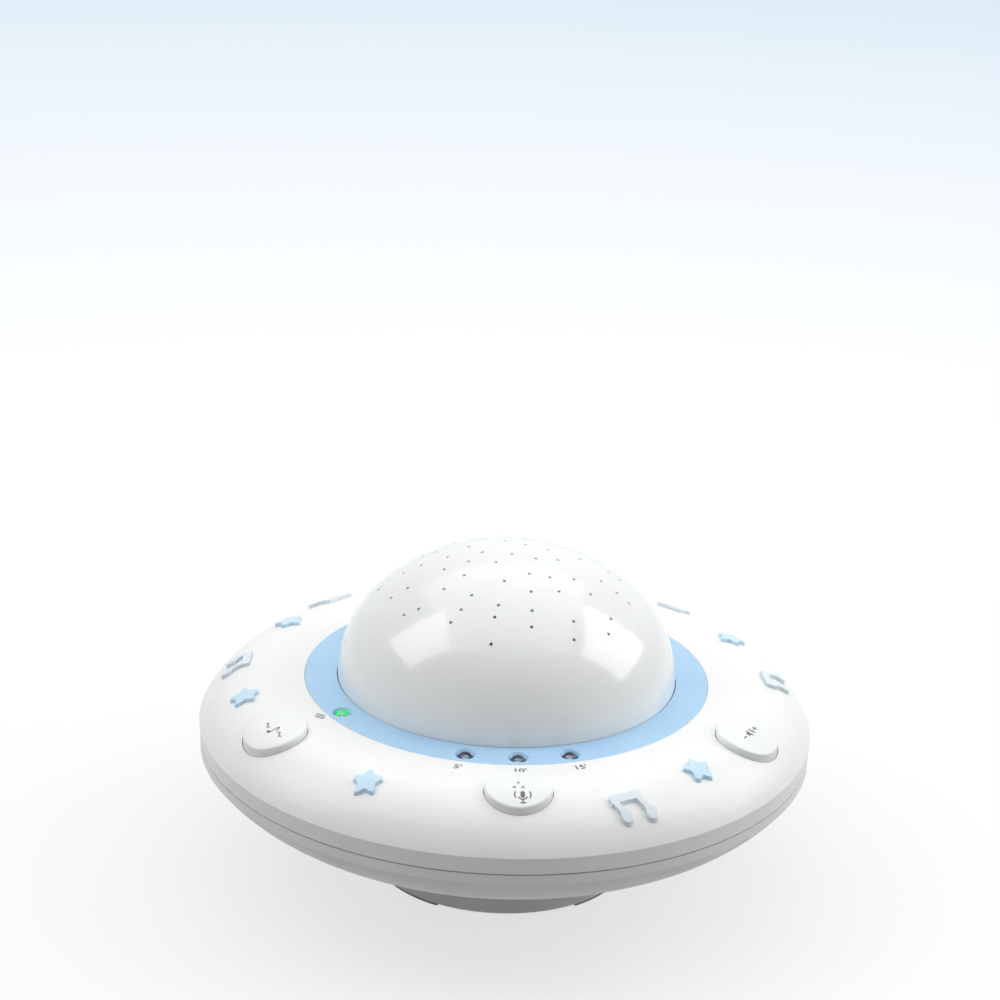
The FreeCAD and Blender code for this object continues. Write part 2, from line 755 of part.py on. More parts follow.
def dome():
    """Low dome shell with a clamped flange, pierced by star holes aimed at the lamp."""
    inner_r = DOME_R - DOME_WALL
    flange_r = DOME_R + DOME_FLANGE_W
    crown = (0, CROWN_CENTRE_Z)
    side = (DOME_SIDE_X, RING_TOP_Z)
    top = radians(90)
    meet = atan2(CROWN_DROP, DOME_SIDE_X)
    shell = turned(
        arc(crown, CROWN_R, top, meet),
        arc(side, DOME_SIDE_R, meet, 0),
        (DOME_R, SEAT_LOW_Z),
        (flange_r, SEAT_LOW_Z),
        (flange_r, DOME_FLANGE_Z),
        (inner_r, DOME_FLANGE_Z),
        arc(side, DOME_SIDE_R - DOME_WALL, 0, meet),
        arc(crown, CROWN_R - DOME_WALL, meet, top),
    )
    hollow = rod(inner_r, DOME_FLANGE_Z - 1, SEAT_LOW_Z + 1)
    ears = [ear.cut(hollow) for ear in dome_ears()]
    shell = joined(shell, *ears)
    cuts = []
    for azimuth in RING_SCREW_AZ:
        x, y = place(LAMP_ORBIT_R, azimuth)
        cuts.append(rod(RING_SCREW_SHAFT_R + SCREW_CLEARANCE, DOME_FLANGE_Z - 1, SEAT_LOW_Z + 1, x, y))
    focus = V(0, 0, TOWER_TOP_Z + LAMP_BOARD_T + LAMP_BASE_H)
    cuts += [star_hole(i, focus) for i in range(STAR_HOLES)]
    return shell.cut(Part.Compound(cuts))


def trim_ring():
    """Ring round the dome with dimpled lamp windows and screw bosses underneath."""
    ring = turned(
        (RING_INNER_R, SEAT_Z),
        (RING_OUTER_R, SEAT_Z),
        (RING_OUTER_R, DECK_Z),
        (RING_INNER_R, RING_TOP_Z),
    )
    bosses = []
    cuts = []
    for azimuth in RING_SCREW_AZ:
        x, y = place(LAMP_ORBIT_R, azimuth)
        bosses.append(rod(RING_BOSS_R, SEAT_LOW_Z, SEAT_Z, x, y))
        cuts.append(rod(RING_SCREW_SHAFT_R + PILOT_GAP, SEAT_LOW_Z, SEAT_Z + RING_SCREW_COVER, x, y))
    face_z = LED_TOP_Z - LED_TOP_PROUD
    for azimuth in INDICATORS.values():
        x, y = place(LAMP_ORBIT_R, azimuth)
        window = LED_R + LED_HOLE_GAP
        cuts.append(rod(window, SEAT_Z - 1, RING_TOP_Z + 1, x, y))
        slope = (LED_DIMPLE_R - window) / LED_DIMPLE_H
        top_r = LED_DIMPLE_R + slope
        cuts.append(Part.makeCone(window, top_r, LED_DIMPLE_H + 1, V(x, y, face_z - LED_DIMPLE_H)))
    return joined(ring, *bosses).cut(Part.Compound(cuts))


def ring_screws():
    """Four screws from below through the dome flange into the trim ring's bosses."""
    reach = SEAT_Z + RING_SCREW_COVER - DOME_FLANGE_Z - 0.2
    screws = []
    for azimuth in RING_SCREW_AZ:
        x, y = place(LAMP_ORBIT_R, azimuth)
        screws.append(pan_screw(x, y, DOME_FLANGE_Z, RING_SCREW_SHAFT_R, RING_SCREW_HEAD_R,
                                RING_SCREW_HEAD_H, reach))
    return Part.Compound(screws)


def indicator_lamp(azimuth):
    """A round lamp with a domed tip, base flange and two leads down through the board."""
    x, y = place(LAMP_ORBIT_R, azimuth)
    shoulder = LED_TOP_Z - LED_R
    body = rod(LED_R, LED_LOW_Z, shoulder, x, y)
    tip = Part.makeSphere(LED_R, V(x, y, shoulder), UP, 0, 90, 360)
    flange = rod(LED_FLANGE_R, LED_LOW_Z, LED_LOW_Z + LED_FLANGE_H, x, y)
    leads = []
    for side in (-1, 1):
        lead = rod(LED_LEAD_R, BOARD_LOW_Z - 1.0, LED_LOW_Z, side * LED_LEAD_PITCH / 2, -LAMP_ORBIT_R)
        leads.append(at(lead, azimuth))
    return joined(body, tip, flange, *leads)


def lamp_spacers():
    """Four tubes that hold the indicator lamps at their height above the board."""
    inner = LED_FLANGE_R - SPACER_WALL
    tubes = []
    for azimuth in INDICATORS.values():
        x, y = place(LAMP_ORBIT_R, azimuth)
        tubes.append(pipe(LED_FLANGE_R, inner, BOARD_TOP_Z, LED_LOW_Z, x, y))
    return Part.Compound(tubes)


# Raised pads and inlays

def pad_prism(pad, grow):
    """A pad's oval plan, grown all round, as a tall prism at the front."""
    _, orbit, half_u, half_v = pad
    oval = Part.Ellipse(V(0, -orbit, POST_TOP_Z), half_u + grow, half_v + grow)
    return Part.Face(Part.Wire(oval.toShape())).extrude(V(0, 0, DECK_Z))


def pad_rim(pad, solid):
    """The edges round the top face of a pad."""
    _, orbit, half_u, half_v = pad
    edges = []
    for edge in solid.Edges:
        spot = edge.valueAt((edge.FirstParameter + edge.LastParameter) / 2)
        outline = (spot.x / half_u) ** 2 + ((spot.y + orbit) / half_v) ** 2
        height = spot.z - face_z(DECK, hypot(spot.x, spot.y))
        if abs(outline - 1) < 0.01 and height > PAD_RAISE / 2:
            edges.append(edge)
    return edges


def pad_cap(pad):
    """A raised pad cap with a retaining flange under the deck, hollow from below."""
    under = -WALL - PAD_FLANGE_GAP
    low = under - PAD_FLANGE_T
    top = pad_prism(pad, 0).common(deck_layer(low, PAD_RAISE))
    top = top.makeFillet(PAD_EDGE, pad_rim(pad, top))
    flange = pad_prism(pad, PAD_FLANGE).common(deck_layer(low, under))
    hollow = pad_prism(pad, -PAD_SHELL).common(deck_layer(low - 1, PAD_RAISE - PAD_SHELL))
    return joined(top, flange).cut(hollow)


def push_button(pad):
    """A raised push pad with a stem down to its switch."""
    stem = rod(STEM_R, PLUNGER_TOP_Z, DECK_Z + PAD_RAISE, 0, -pad[1])
    stem = stem.common(below_deck(PAD_RAISE - PAD_SHELL / 2))
    return at(joined(pad_cap(pad), stem), pad[0])


def mic_pad():
    """The fixed pad with three sound holes over the microphone."""
    azimuth, orbit, _, _ = MIC_PAD
    low = BOARD_TOP_Z + BOOT_H
    boss = rod(MIC_PAD_BOSS_R, low, DECK_Z + PAD_RAISE, 0, -orbit)
    boss = boss.common(below_deck(PAD_RAISE - PAD_SHELL / 2))
    cavity = rod(MIC_CAVITY_R, low - 1, DECK_Z, 0, -orbit)
    cavity = cavity.common(below_deck(PAD_RAISE - PAD_SHELL))
    holes = []
    for i in range(3):
        angle = radians(120 * i)
        x = MIC_HOLE_RING * sin(angle)
        y = MIC_HOLE_RING * cos(angle) - orbit
        holes.append(rod(MIC_HOLE_R, low, DECK_Z + PAD_RAISE + 1, x, y))
    return at(joined(pad_cap(MIC_PAD), boss).cut(Part.Compound([cavity] + holes)), azimuth)


def star_prism(grow, turn):
    """A star with rounded points at the front orbit's origin, as a tall prism."""
    high = DECK_Z + 2 * INLAY_RAISE
    corners = star_corners(STAR_R + grow * 1.6, STAR_WAIST + grow, turn)
    prism = plate_of(corners, 0, high)
    tips = []
    for edge in prism.Edges:
        upright = edge.BoundBox.ZLength > high / 2
        spot = edge.Vertexes[0].Point
        if upright and hypot(spot.x, spot.y) > (STAR_R + STAR_WAIST) / 2:
            tips.append(edge)
    return prism.makeFillet(STAR_TIP_ROUND, tips)


def note_prism(grow):
    """A pair of notes under one beam: beam towards the dome, slanted stems, heads outwards."""
    high = DECK_Z + 2 * INLAY_RAISE
    half = NOTE_WIDTH / 2 + grow
    top = NOTE_HEIGHT / 2 + grow
    left = top - NOTE_BEAM_RISE
    deep = NOTE_BEAM_H + 2 * grow
    low = NOTE_HEAD_R - NOTE_HEIGHT / 2
    w = NOTE_STEM_W / 2 + grow
    beam = plate_of([(-half, left), (half, top), (half, top - deep), (-half, left - deep)], 0, high)
    parts = []
    for x in (-(NOTE_WIDTH - NOTE_STEM_W) / 2, (NOTE_WIDTH - NOTE_STEM_W) / 2):
        end = x + NOTE_SLANT
        stem_top = NOTE_HEIGHT / 2 - NOTE_BEAM_H
        parts.append(plate_of([(x - w, stem_top), (x + w, stem_top), (end + w, low), (end - w, low)], 0, high))
        parts.append(rod(NOTE_HEAD_R + grow, 0, high, end, low))
    return joined(beam, *parts)


def inlay_prisms(grow, depth):
    """Every inlay's name and its solid from depth under the deck's face to well above it."""
    layer = deck_layer(-depth, 3 * INLAY_RAISE if grow else INLAY_RAISE)
    solids = []
    for i, (azimuth, radius, turn) in enumerate(STARS):
        prism = star_prism(grow, turn)
        prism.translate(V(0, -radius, 0))
        solids.append((f"star_inlay_{i + 1}", at(prism.common(layer), azimuth)))
    for i, (azimuth, radius) in enumerate(NOTES):
        prism = note_prism(grow)
        prism.translate(V(0, -radius, 0))
        solids.append((f"note_inlay_{i + 1}", at(prism.common(layer), azimuth)))
    return solids


# Electronics

def main_board():
    """Crescent board with screw holes, post holes and lead holes."""
    board = sector(BOARD_INNER_R, BOARD_OUTER_R, BOARD_HALF_ANGLE, BOARD_LOW_Z, BOARD_TOP_Z)
    cuts = []
    for radius, azimuth in BOARD_SCREWS:
        x, y = place(radius, azimuth)
        cuts.append(rod(BOARD_SCREW_SHAFT_R + SCREW_CLEARANCE, BOARD_LOW_Z - 1, BOARD_TOP_Z + 1, x, y))
    for azimuth in POST_AZ:
        x, y = place(POST_ORBIT_R, azimuth)
        cuts.append(rod(UPPER_POST_R + UPPER_POST_GAP, BOARD_LOW_Z - 1, BOARD_TOP_Z + 1, x, y))
    for azimuth in INDICATORS.values():
        for side in (-1, 1):
            hole = rod(LED_LEAD_R + 0.15, BOARD_LOW_Z - 1, BOARD_TOP_Z + 1,
                       side * LED_LEAD_PITCH / 2, -LAMP_ORBIT_R)
            cuts.append(at(hole, azimuth))
    return board.cut(Part.Compound(cuts))


def board_screws():
    """Four screws under the main board."""
    screws = []
    for radius, azimuth in BOARD_SCREWS:
        x, y = place(radius, azimuth)
        screws.append(pan_screw(x, y, BOARD_LOW_Z, BOARD_SCREW_SHAFT_R, BOARD_SCREW_HEAD_R,
                                BOARD_SCREW_HEAD_H, BOARD_SCREW_L))
    return Part.Compound(screws)


def push_switch(pad):
    """Square switch body with a bore for its plunger."""
    azimuth, orbit, _, _ = pad
    half = SWITCH_W / 2
    body = block(-half, half, -orbit - half, -orbit + half, BOARD_TOP_Z, SWITCH_TOP_Z)
    floor = SWITCH_TOP_Z - PLUNGER_DEPTH - BUTTON_TRAVEL - PLUNGER_FLOOR
    return at(body.cut(rod(PLUNGER_R + PLUNGER_FIT, floor, SWITCH_TOP_Z, 0, -orbit)), azimuth)


def switch_plunger(pad):
    """The plunger between a switch and its pad's stem."""
    azimuth, orbit, _, _ = pad
    return at(rod(PLUNGER_R, SWITCH_TOP_Z - PLUNGER_DEPTH, PLUNGER_TOP_Z, 0, -orbit), azimuth)


def mic_capsule():
    """Round microphone capsule on the board, with its sound port."""
    x, y = place(MIC_PAD[1], MIC_PAD[0])
    top = BOARD_TOP_Z + MIC_H
    capsule = rod(MIC_R, BOARD_TOP_Z, top, x, y)
    rim = [e for e in capsule.Edges if e.BoundBox.ZMin > top - 1e-6]
    return capsule.makeChamfer(MIC_BEVEL, rim).cut(rod(MIC_PORT_R, top - MIC_PORT_DEPTH, top, x, y))


def mic_boot():
    """Rubber sleeve between the board and the microphone pad."""
    x, y = place(MIC_PAD[1], MIC_PAD[0])
    inner = MIC_R + MIC_FIT
    return pipe(inner + BOOT_WALL, inner, BOARD_TOP_Z, BOARD_TOP_Z + BOOT_H, x, y)


def sound_chip():
    """Chip package with two rows of leads."""
    w, l, h = CHIP_SIZE
    stand = 0.2
    y = -CHIP_ORBIT_R
    body = block(-w / 2, w / 2, y - l / 2, y + l / 2, BOARD_TOP_Z + stand, BOARD_TOP_Z + h)
    pins = []
    for i in range(6):
        at_y = y - l / 2 + l * (i + 0.5) / 6
        pins.append(block(-w / 2 - 1.1, w / 2 + 1.1, at_y - 0.25, at_y + 0.25, BOARD_TOP_Z, BOARD_TOP_Z + 0.45))
    return at(joined(body, *pins), CHIP_AZ)


def amp_capacitor():
    """Can-shaped capacitor of the amplifier."""
    x, y = place(CAPACITOR_ORBIT_R, CAPACITOR_AZ)
    can = rod(CAPACITOR_R, BOARD_TOP_Z, BOARD_TOP_Z + CAPACITOR_H, x, y)
    top = [e for e in can.Edges if e.BoundBox.ZMin > BOARD_TOP_Z + CAPACITOR_H - 1e-6]
    return can.makeFillet(0.6, top)


def wire_plug():
    """Connector for the wires to lamp, speaker and battery bay."""
    w, l, h = PLUG_SIZE
    y = -PLUG_ORBIT_R
    body = block(-w / 2, w / 2, y - l / 2, y + l / 2, BOARD_TOP_Z, BOARD_TOP_Z + h)
    mouth = block(-w / 2 + 0.8, w / 2 - 0.8, y - l / 2 + 0.8, y + l / 2 - 0.8, BOARD_TOP_Z + 1.5, BOARD_TOP_Z + h)
    return at(body.cut(mouth), PLUG_AZ)


# Lamp tower

def lamp_tower():
    """Hollow ribbed tower that lifts the projection lamp into the dome."""
    low = BAY_TOP_Z
    shelf = low + TOWER_FLANGE_T
    cap = TOWER_TOP_Z - TOWER_CAP_T
    body = turned(
        (TOWER_BORE_R, low),
        (TOWER_FLANGE_R, low),
        (TOWER_FLANGE_R, shelf),
        (TOWER_FOOT_R, shelf),
        (TOWER_HEAD_R, cap - 3),
        (TOWER_CAP_R, cap),
        (TOWER_CAP_R, TOWER_TOP_Z),
        (TOWER_BORE_R, TOWER_TOP_Z),
    )
    ribs = []
    for i in range(3):
        rib = profile((TOWER_HEAD_R - 1, shelf), (TOWER_FLANGE_R - 0.6, shelf), (TOWER_HEAD_R - 1, shelf + TOWER_RIB_H))
        rib.translate(V(0, -TOWER_RIB_T / 2, 0))
        ribs.append(at(rib.extrude(V(0, TOWER_RIB_T, 0)), 90 + 120 * i))
    cuts = []
    for azimuth in range(0, 360, 120):
        x, y = place(TOWER_SCREW_ORBIT, azimuth)
        cuts.append(rod(TOWER_SCREW_SHAFT_R + SCREW_CLEARANCE, low - 1, shelf + 1, x, y))
    for azimuth in (90, 270):
        x, y = place(LAMP_SCREW_ORBIT, azimuth)
        cuts.append(rod(LAMP_SCREW_SHAFT_R + PILOT_GAP, TOWER_TOP_Z - LAMP_SCREW_BITE, TOWER_TOP_Z, x, y))
    return joined(body, *ribs).cut(Part.Compound(cuts))


def flip_screw(x, y, seat_z, shaft_r, head_r, head_h, bite):
    """A screw driven from above: head on seat_z, shaft downwards."""
    screw = pan_screw(x, y, 0, shaft_r, head_r, head_h, bite)
    screw.rotate(V(x, y, 0), V(1, 0, 0), 180)
    screw.translate(V(0, 0, seat_z))
    return screw


def tower_screws():
    """Three screws through the tower's flange into the bay roof."""
    seat = BAY_TOP_Z + TOWER_FLANGE_T
    screws = []
    for azimuth in range(0, 360, 120):
        x, y = place(TOWER_SCREW_ORBIT, azimuth)
        screws.append(flip_screw(x, y, seat, TOWER_SCREW_SHAFT_R, TOWER_SCREW_HEAD_R,
                                 TOWER_SCREW_HEAD_H, TOWER_FLANGE_T + TOWER_SCREW_BITE))
    return Part.Compound(screws)


def lamp_board():
    """Round aluminium board under the projection lamp."""
    board = rod(LAMP_BOARD_R, TOWER_TOP_Z, TOWER_TOP_Z + LAMP_BOARD_T)
    for azimuth in (90, 270):
        x, y = place(LAMP_SCREW_ORBIT, azimuth)
        board = board.cut(rod(LAMP_SCREW_SHAFT_R + 0.15, TOWER_TOP_Z, TOWER_TOP_Z + LAMP_BOARD_T, x, y))
    return board


def lamp_screws():
    """Two screws that hold the lamp board."""
    seat = TOWER_TOP_Z + LAMP_BOARD_T
    screws = []
    for azimuth in (90, 270):
        x, y = place(LAMP_SCREW_ORBIT, azimuth)
        screws.append(flip_screw(x, y, seat, LAMP_SCREW_SHAFT_R, LAMP_SCREW_HEAD_R,
                                 LAMP_SCREW_HEAD_H, LAMP_BOARD_T + LAMP_SCREW_BITE))
    return Part.Compound(screws)


def projection_lamp():
    """Square lamp base with a clear half-round lens."""
    half = LAMP_SIZE / 2
    low = TOWER_TOP_Z + LAMP_BOARD_T
    base = block(-half, half, -half, half, low, low + LAMP_BASE_H)
    lens = Part.makeSphere(LAMP_LENS_R, V(0, 0, low + LAMP_BASE_H), UP, 0, 90, 360)
    return joined(base, lens)


# Speaker

def speaker_basket():
    """Pressed frame of the speaker with its flange and four windows."""
    low = SPEAKER_SEAT_Z
    shelf = low + SPEAKER_FLANGE_T
    top = low + SPEAKER_BASKET_H
    t = SPEAKER_BASKET_T
    mouth = SPEAKER_R - SPEAKER_SEAT_W
    frame = turned(
        (mouth, low), (SPEAKER_R, low), (SPEAKER_R, shelf), (mouth + t, shelf),
        (MAGNET_R, top), (CONE_TOP_R + t, top), (CONE_TOP_R + t, top - t), (MAGNET_R - t, top - t), (mouth, shelf),
    )
    windows = []
    for i in range(4):
        window = block(-3.2, 3.2, -mouth - 2, -CONE_TOP_R - 6, shelf + 1.2, top - t - 1.0)
        windows.append(at(window, 45 + 90 * i))
    frame = frame.cut(Part.Compound(windows))
    frame.translate(V(0, SPEAKER_Y, 0))
    return frame


def speaker_magnet():
    """Magnet and its back plate on top of the basket."""
    low = SPEAKER_SEAT_Z + SPEAKER_BASKET_H
    magnet = rod(MAGNET_R, low, low + MAGNET_H, 0, SPEAKER_Y)
    rim = [e for e in magnet.Edges if e.BoundBox.ZMin > low + MAGNET_H - 1e-6]
    return magnet.makeChamfer(0.8, rim)


def speaker_cone():
    """Thin cone with a rolled edge and a dust cap, hung in the basket."""
    low = SPEAKER_SEAT_Z
    top = low + SPEAKER_BASKET_H - SPEAKER_BASKET_T
    edge = SPEAKER_R - SPEAKER_SEAT_W - CONE_GAP
    cone = turned(
        (0, top - 3.0), (CONE_TOP_R, top - 2.2), (edge - 3.0, low + 0.6), (edge, low + 0.6),
        (edge, low + 0.6 + CONE_T), (edge - 2.6, low + 0.6 + CONE_T), (CONE_TOP_R + 0.5, top - 1.6),
        (CONE_TOP_R + 0.5, top), (0, top),
    )
    cone.translate(V(0, SPEAKER_Y, 0))
    return cone


def speaker_screws():
    """Three screws whose heads clamp the basket's flange."""
    seat = SPEAKER_SEAT_Z + SPEAKER_FLANGE_T
    screws = []
    for x, y in speaker_places():
        screws.append(flip_screw(x, y, seat, SPEAKER_SCREW_R, SPEAKER_SCREW_HEAD_R, 1.5,
                                 SPEAKER_SCREW_L - 0.4))
    return Part.Compound(screws)


# Battery bay

def cell_side(index):
    """Which end of the bay a cell's nub faces: neighbours lie head to tail."""
    return 1 if index % 2 == 0 else -1


def cell(index):
    """One round cell with its nub."""
    x = (index - (CELL_COUNT - 1) / 2) * CELL_PITCH
    side = cell_side(index)
    nub_end = side * (BAY_HALF_Y - CONTACT_T)
    body_end = nub_end - side * CELL_NUB_H
    base = nub_end - side * CELL_L
    body = Part.makeCylinder(CELL_R, abs(body_end - base), V(x, base, CELL_Z), V(0, side, 0))
    nub = Part.makeCylinder(CELL_NUB_R, CELL_NUB_H, V(x, body_end, CELL_Z), V(0, side, 0))
    return joined(body.makeFillet(0.8, [e for e in body.Edges if e.Length > 2 * CELL_R * 3]), nub)


def ribbon(points, thickness, width, x):
    """A strip of sheet to the right of points (y, z), width wide in X."""
    edge = []
    for i, (y, z) in enumerate(points):
        before = points[max(0, i - 1)]
        after = points[min(len(points) - 1, i + 1)]
        along = hypot(after[0] - before[0], after[1] - before[1])
        side = thickness / along
        edge.append((y + side * (after[1] - before[1]), z - side * (after[0] - before[0])))
    corners = [V(x - width / 2, y, z) for y, z in points + edge[::-1]]
    return Part.Face(Part.makePolygon(corners + corners[:1])).extrude(V(width, 0, 0))


def plate_contacts():
    """Flat contacts that the cells' nubs touch."""
    plates = []
    for i in range(CELL_COUNT):
        x = (i - (CELL_COUNT - 1) / 2) * CELL_PITCH
        wall = cell_side(i) * BAY_HALF_Y
        face = wall - cell_side(i) * CONTACT_T
        low = BAY_LOW_Z + CONTACT_FLOOR
        plates.append(block(x - CONTACT_W / 2, x + CONTACT_W / 2, min(wall, face), max(wall, face),
                            low, BAY_ROOF_Z))
    return Part.Compound(plates)


def spring_contacts():
    """Folded leaf springs that press on the cells' flat ends."""
    springs = []
    low = BAY_LOW_Z + CONTACT_FLOOR
    top = BAY_ROOF_Z - 1.0
    middle = (low + top) / 2
    for i in range(CELL_COUNT):
        side = -cell_side(i)
        x = (i - (CELL_COUNT - 1) / 2) * CELL_PITCH
        reach = BAY_SPRING_SPACE
        back = block(x - CONTACT_W / 2, x + CONTACT_W / 2, BAY_HALF_Y - CONTACT_T, BAY_HALF_Y, low, BAY_ROOF_Z)
        near = BAY_HALF_Y - CONTACT_T
        bow = [(near + 0.1, top), (near - reach * 0.55, top - 1.4), (near - reach + CONTACT_T, middle + 1.2),
               (near - reach + CONTACT_T, middle - 1.2), (near - reach * 0.55, low + 1.2)]
        leaf = ribbon(bow, CONTACT_T * 0.98, CONTACT_W * 0.7, x)
        spring = joined(back, leaf)
        if side < 0:
            spring = spring.mirror(ORIGIN, V(0, 1, 0))
        springs.append(spring)
    return Part.Compound(springs)


def battery_door():
    """Door with two hinge tabs, two cell ribs and a screw ear."""
    plate = door_outline(0, DOOR_LOW_Z, DOOR_TOP_Z)
    pieces = []
    tab_low = PLATE_TOP_Z + TAB_GAP
    for x in (-TAB_X, TAB_X):
        half = TAB_W / 2
        root = block(x - half, x + half, DOOR_HALF_Y - TAB_ROOT, DOOR_HALF_Y, DOOR_TOP_Z, tab_low + TAB_T)
        hook = block(x - half, x + half, DOOR_HALF_Y, DOOR_HALF_Y + TAB_REACH, tab_low, tab_low + TAB_T)
        pieces += [root, hook]
    for x in (-CELL_PITCH / 2, CELL_PITCH / 2):
        pieces.append(block(x - RIB_W / 2, x + RIB_W / 2, -RIB_L / 2, RIB_L / 2, DOOR_TOP_Z, DOOR_TOP_Z + RIB_H))
    body = joined(plate, *pieces)
    seat = DOOR_LOW_Z + DOOR_SCREW_HEAD_H
    body = body.cut(rod(DOOR_SCREW_HEAD_R + 0.15, DOOR_LOW_Z - 1, seat, 0, EAR_Y))
    return body.cut(rod(DOOR_SCREW_SHAFT_R + DOOR_SCREW_FIT, seat - 1, DOOR_TOP_Z + 1, 0, EAR_Y))


def door_screw():
    """Captive screw in the door's ear."""
    seat = DOOR_LOW_Z + DOOR_SCREW_HEAD_H
    reach = DOOR_TOP_Z - seat + DOOR_SCREW_REACH
    return pan_screw(0, EAR_Y, seat, DOOR_SCREW_SHAFT_R, DOOR_SCREW_HEAD_R, DOOR_SCREW_HEAD_H, reach, drive=True)


def door_insert():
    """Brass insert that takes the door screw."""
    inner = DOOR_SCREW_SHAFT_R + INSERT_SWING_GAP
    return pipe(inner + INSERT_WALL, inner, BAY_LOW_Z + 0.1, BAY_LOW_Z + INSERT_H, 0, EAR_Y)


def power_knob():
    """Ridged knob of the slide switch, shown at its on end."""
    half_w = KNOB_W / 2
    half_l = KNOB_L / 2
    low = FOOT_Z + KNOB_INSET
    shelf = PLATE_TOP_Z + KNOB_FLANGE_GAP
    cap = block(POWER_X - half_w, POWER_X + half_w, KNOB_Y - half_l, KNOB_Y + half_l, low, shelf)
    flange = block(POWER_X - KNOB_FLANGE_W / 2, POWER_X + KNOB_FLANGE_W / 2,
                   KNOB_Y - KNOB_FLANGE_L / 2, KNOB_Y + KNOB_FLANGE_L / 2, shelf, shelf + KNOB_FLANGE_T)
    knob = joined(cap, flange)
    for i in range(KNOB_RIDGES + 1):
        y = KNOB_Y - half_l + KNOB_L * (i + 0.5) / (KNOB_RIDGES + 1)
        knob = knob.cut(block(POWER_X - half_w, POWER_X + half_w, y - 0.3, y + 0.3, low, low + 0.5))
    return knob


def power_switch():
    """Body of the slide switch, standing on the foot plate over the knob's flange."""
    w, l, h = POWER_BODY
    body = block(POWER_X - w / 2, POWER_X + w / 2, -l / 2, l / 2, PLATE_TOP_Z, PLATE_TOP_Z + h)
    half = KNOB_FLANGE_W / 2 + 0.15
    top = PLATE_TOP_Z + KNOB_FLANGE_T + 2 * KNOB_FLANGE_GAP
    return body.cut(block(POWER_X - half, POWER_X + half, -l / 2, l / 2, PLATE_TOP_Z, top))


def build():
    """Every sub-part by name."""
    parts = {
        "upper_housing": upper_housing(),
        "lower_housing": lower_housing(),
        "dome": dome(),
        "trim_ring": trim_ring(),
        "mode_button": push_button(MODE_PAD),
        "volume_button": push_button(VOLUME_PAD),
        "mic_pad": mic_pad(),
        "mode_switch": push_switch(MODE_PAD),
        "volume_switch": push_switch(VOLUME_PAD),
        "mode_plunger": switch_plunger(MODE_PAD),
        "volume_plunger": switch_plunger(VOLUME_PAD),
        "mic_capsule": mic_capsule(),
        "mic_boot": mic_boot(),
        "main_board": main_board(),
        "board_screws": board_screws(),
        "sound_chip": sound_chip(),
        "amp_capacitor": amp_capacitor(),
        "wire_plug": wire_plug(),
        "lamp_spacers": lamp_spacers(),
        "ring_screws": ring_screws(),
        "housing_screws": housing_screws(),
        "rubber_feet": rubber_feet(),
        "lamp_tower": lamp_tower(),
        "tower_screws": tower_screws(),
        "lamp_board": lamp_board(),
        "lamp_screws": lamp_screws(),
        "projection_lamp": projection_lamp(),
        "speaker_basket": speaker_basket(),
        "speaker_magnet": speaker_magnet(),
        "speaker_cone": speaker_cone(),
        "speaker_screws": speaker_screws(),
        "plate_contacts": plate_contacts(),
        "spring_contacts": spring_contacts(),
        "battery_door": battery_door(),
        "door_screw": door_screw(),
        "door_insert": door_insert(),
        "power_knob": power_knob(),
        "power_switch": power_switch(),
    }
    for name, azimuth in INDICATORS.items():
        parts[name] = indicator_lamp(azimuth)
    for i in range(CELL_COUNT):
        parts[f"cell_{i + 1}"] = cell(i)
    for name, solid in inlay_prisms(0, INLAY_RECESS):
        parts[name] = solid
    return parts


for name, shape in build().items():
    solids = shape.Solids
    print(f"{name}: {len(solids)} solid(s), {sum(s.Volume for s in solids) / 1000:.2f} cm3, valid {shape.isValid()}")
    (solids[0] if len(solids) == 1 else Part.Compound(solids)).exportStep(f"parts/{name}.step")
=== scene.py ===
"""Finish and fine detail of a star night light projector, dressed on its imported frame.

Lengths are in metres in the object's own frame: +Z is up and the front faces -Y.
An azimuth is counted in degrees from the front, positive towards +X.
"""

import logging
import math
from dataclasses import dataclass, field
from enum import Enum

import bmesh
import bpy
from mathutils import Matrix, Vector
from mathutils.bvhtree import BVHTree


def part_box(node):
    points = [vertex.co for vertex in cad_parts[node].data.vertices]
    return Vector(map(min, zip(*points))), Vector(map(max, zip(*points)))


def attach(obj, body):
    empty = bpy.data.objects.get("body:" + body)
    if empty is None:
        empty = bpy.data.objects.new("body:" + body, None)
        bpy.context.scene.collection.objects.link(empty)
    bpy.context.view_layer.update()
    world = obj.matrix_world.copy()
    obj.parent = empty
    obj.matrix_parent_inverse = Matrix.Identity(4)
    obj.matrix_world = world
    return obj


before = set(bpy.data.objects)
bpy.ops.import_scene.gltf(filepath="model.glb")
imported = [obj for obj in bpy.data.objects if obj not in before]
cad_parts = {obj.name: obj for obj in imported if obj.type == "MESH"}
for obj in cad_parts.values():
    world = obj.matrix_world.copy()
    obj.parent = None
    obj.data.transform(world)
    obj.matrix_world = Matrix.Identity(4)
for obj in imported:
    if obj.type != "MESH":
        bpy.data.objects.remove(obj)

MM = 0.001
PROBE_CLEARANCE = 10 * MM
ON_AXIS = 1e-9
CELL_COUNT = 3
LOG = logging.getLogger("projector")


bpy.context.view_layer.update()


def linear(colour: tuple[int, int, int]) -> tuple[float, float, float, float]:
    """A screen colour, 0 to 255, as the linear light that a shader takes.

    Args:
        colour: Red, green and blue as they look on a screen.

    Returns:
        Linear red, green, blue and an alpha of 1.
    """
    parts = [c / 255 for c in colour]
    light = [c / 12.92 if c <= 0.04045 else ((c + 0.055) / 1.055) ** 2.4 for c in parts]
    return (light[0], light[1], light[2], 1.0)


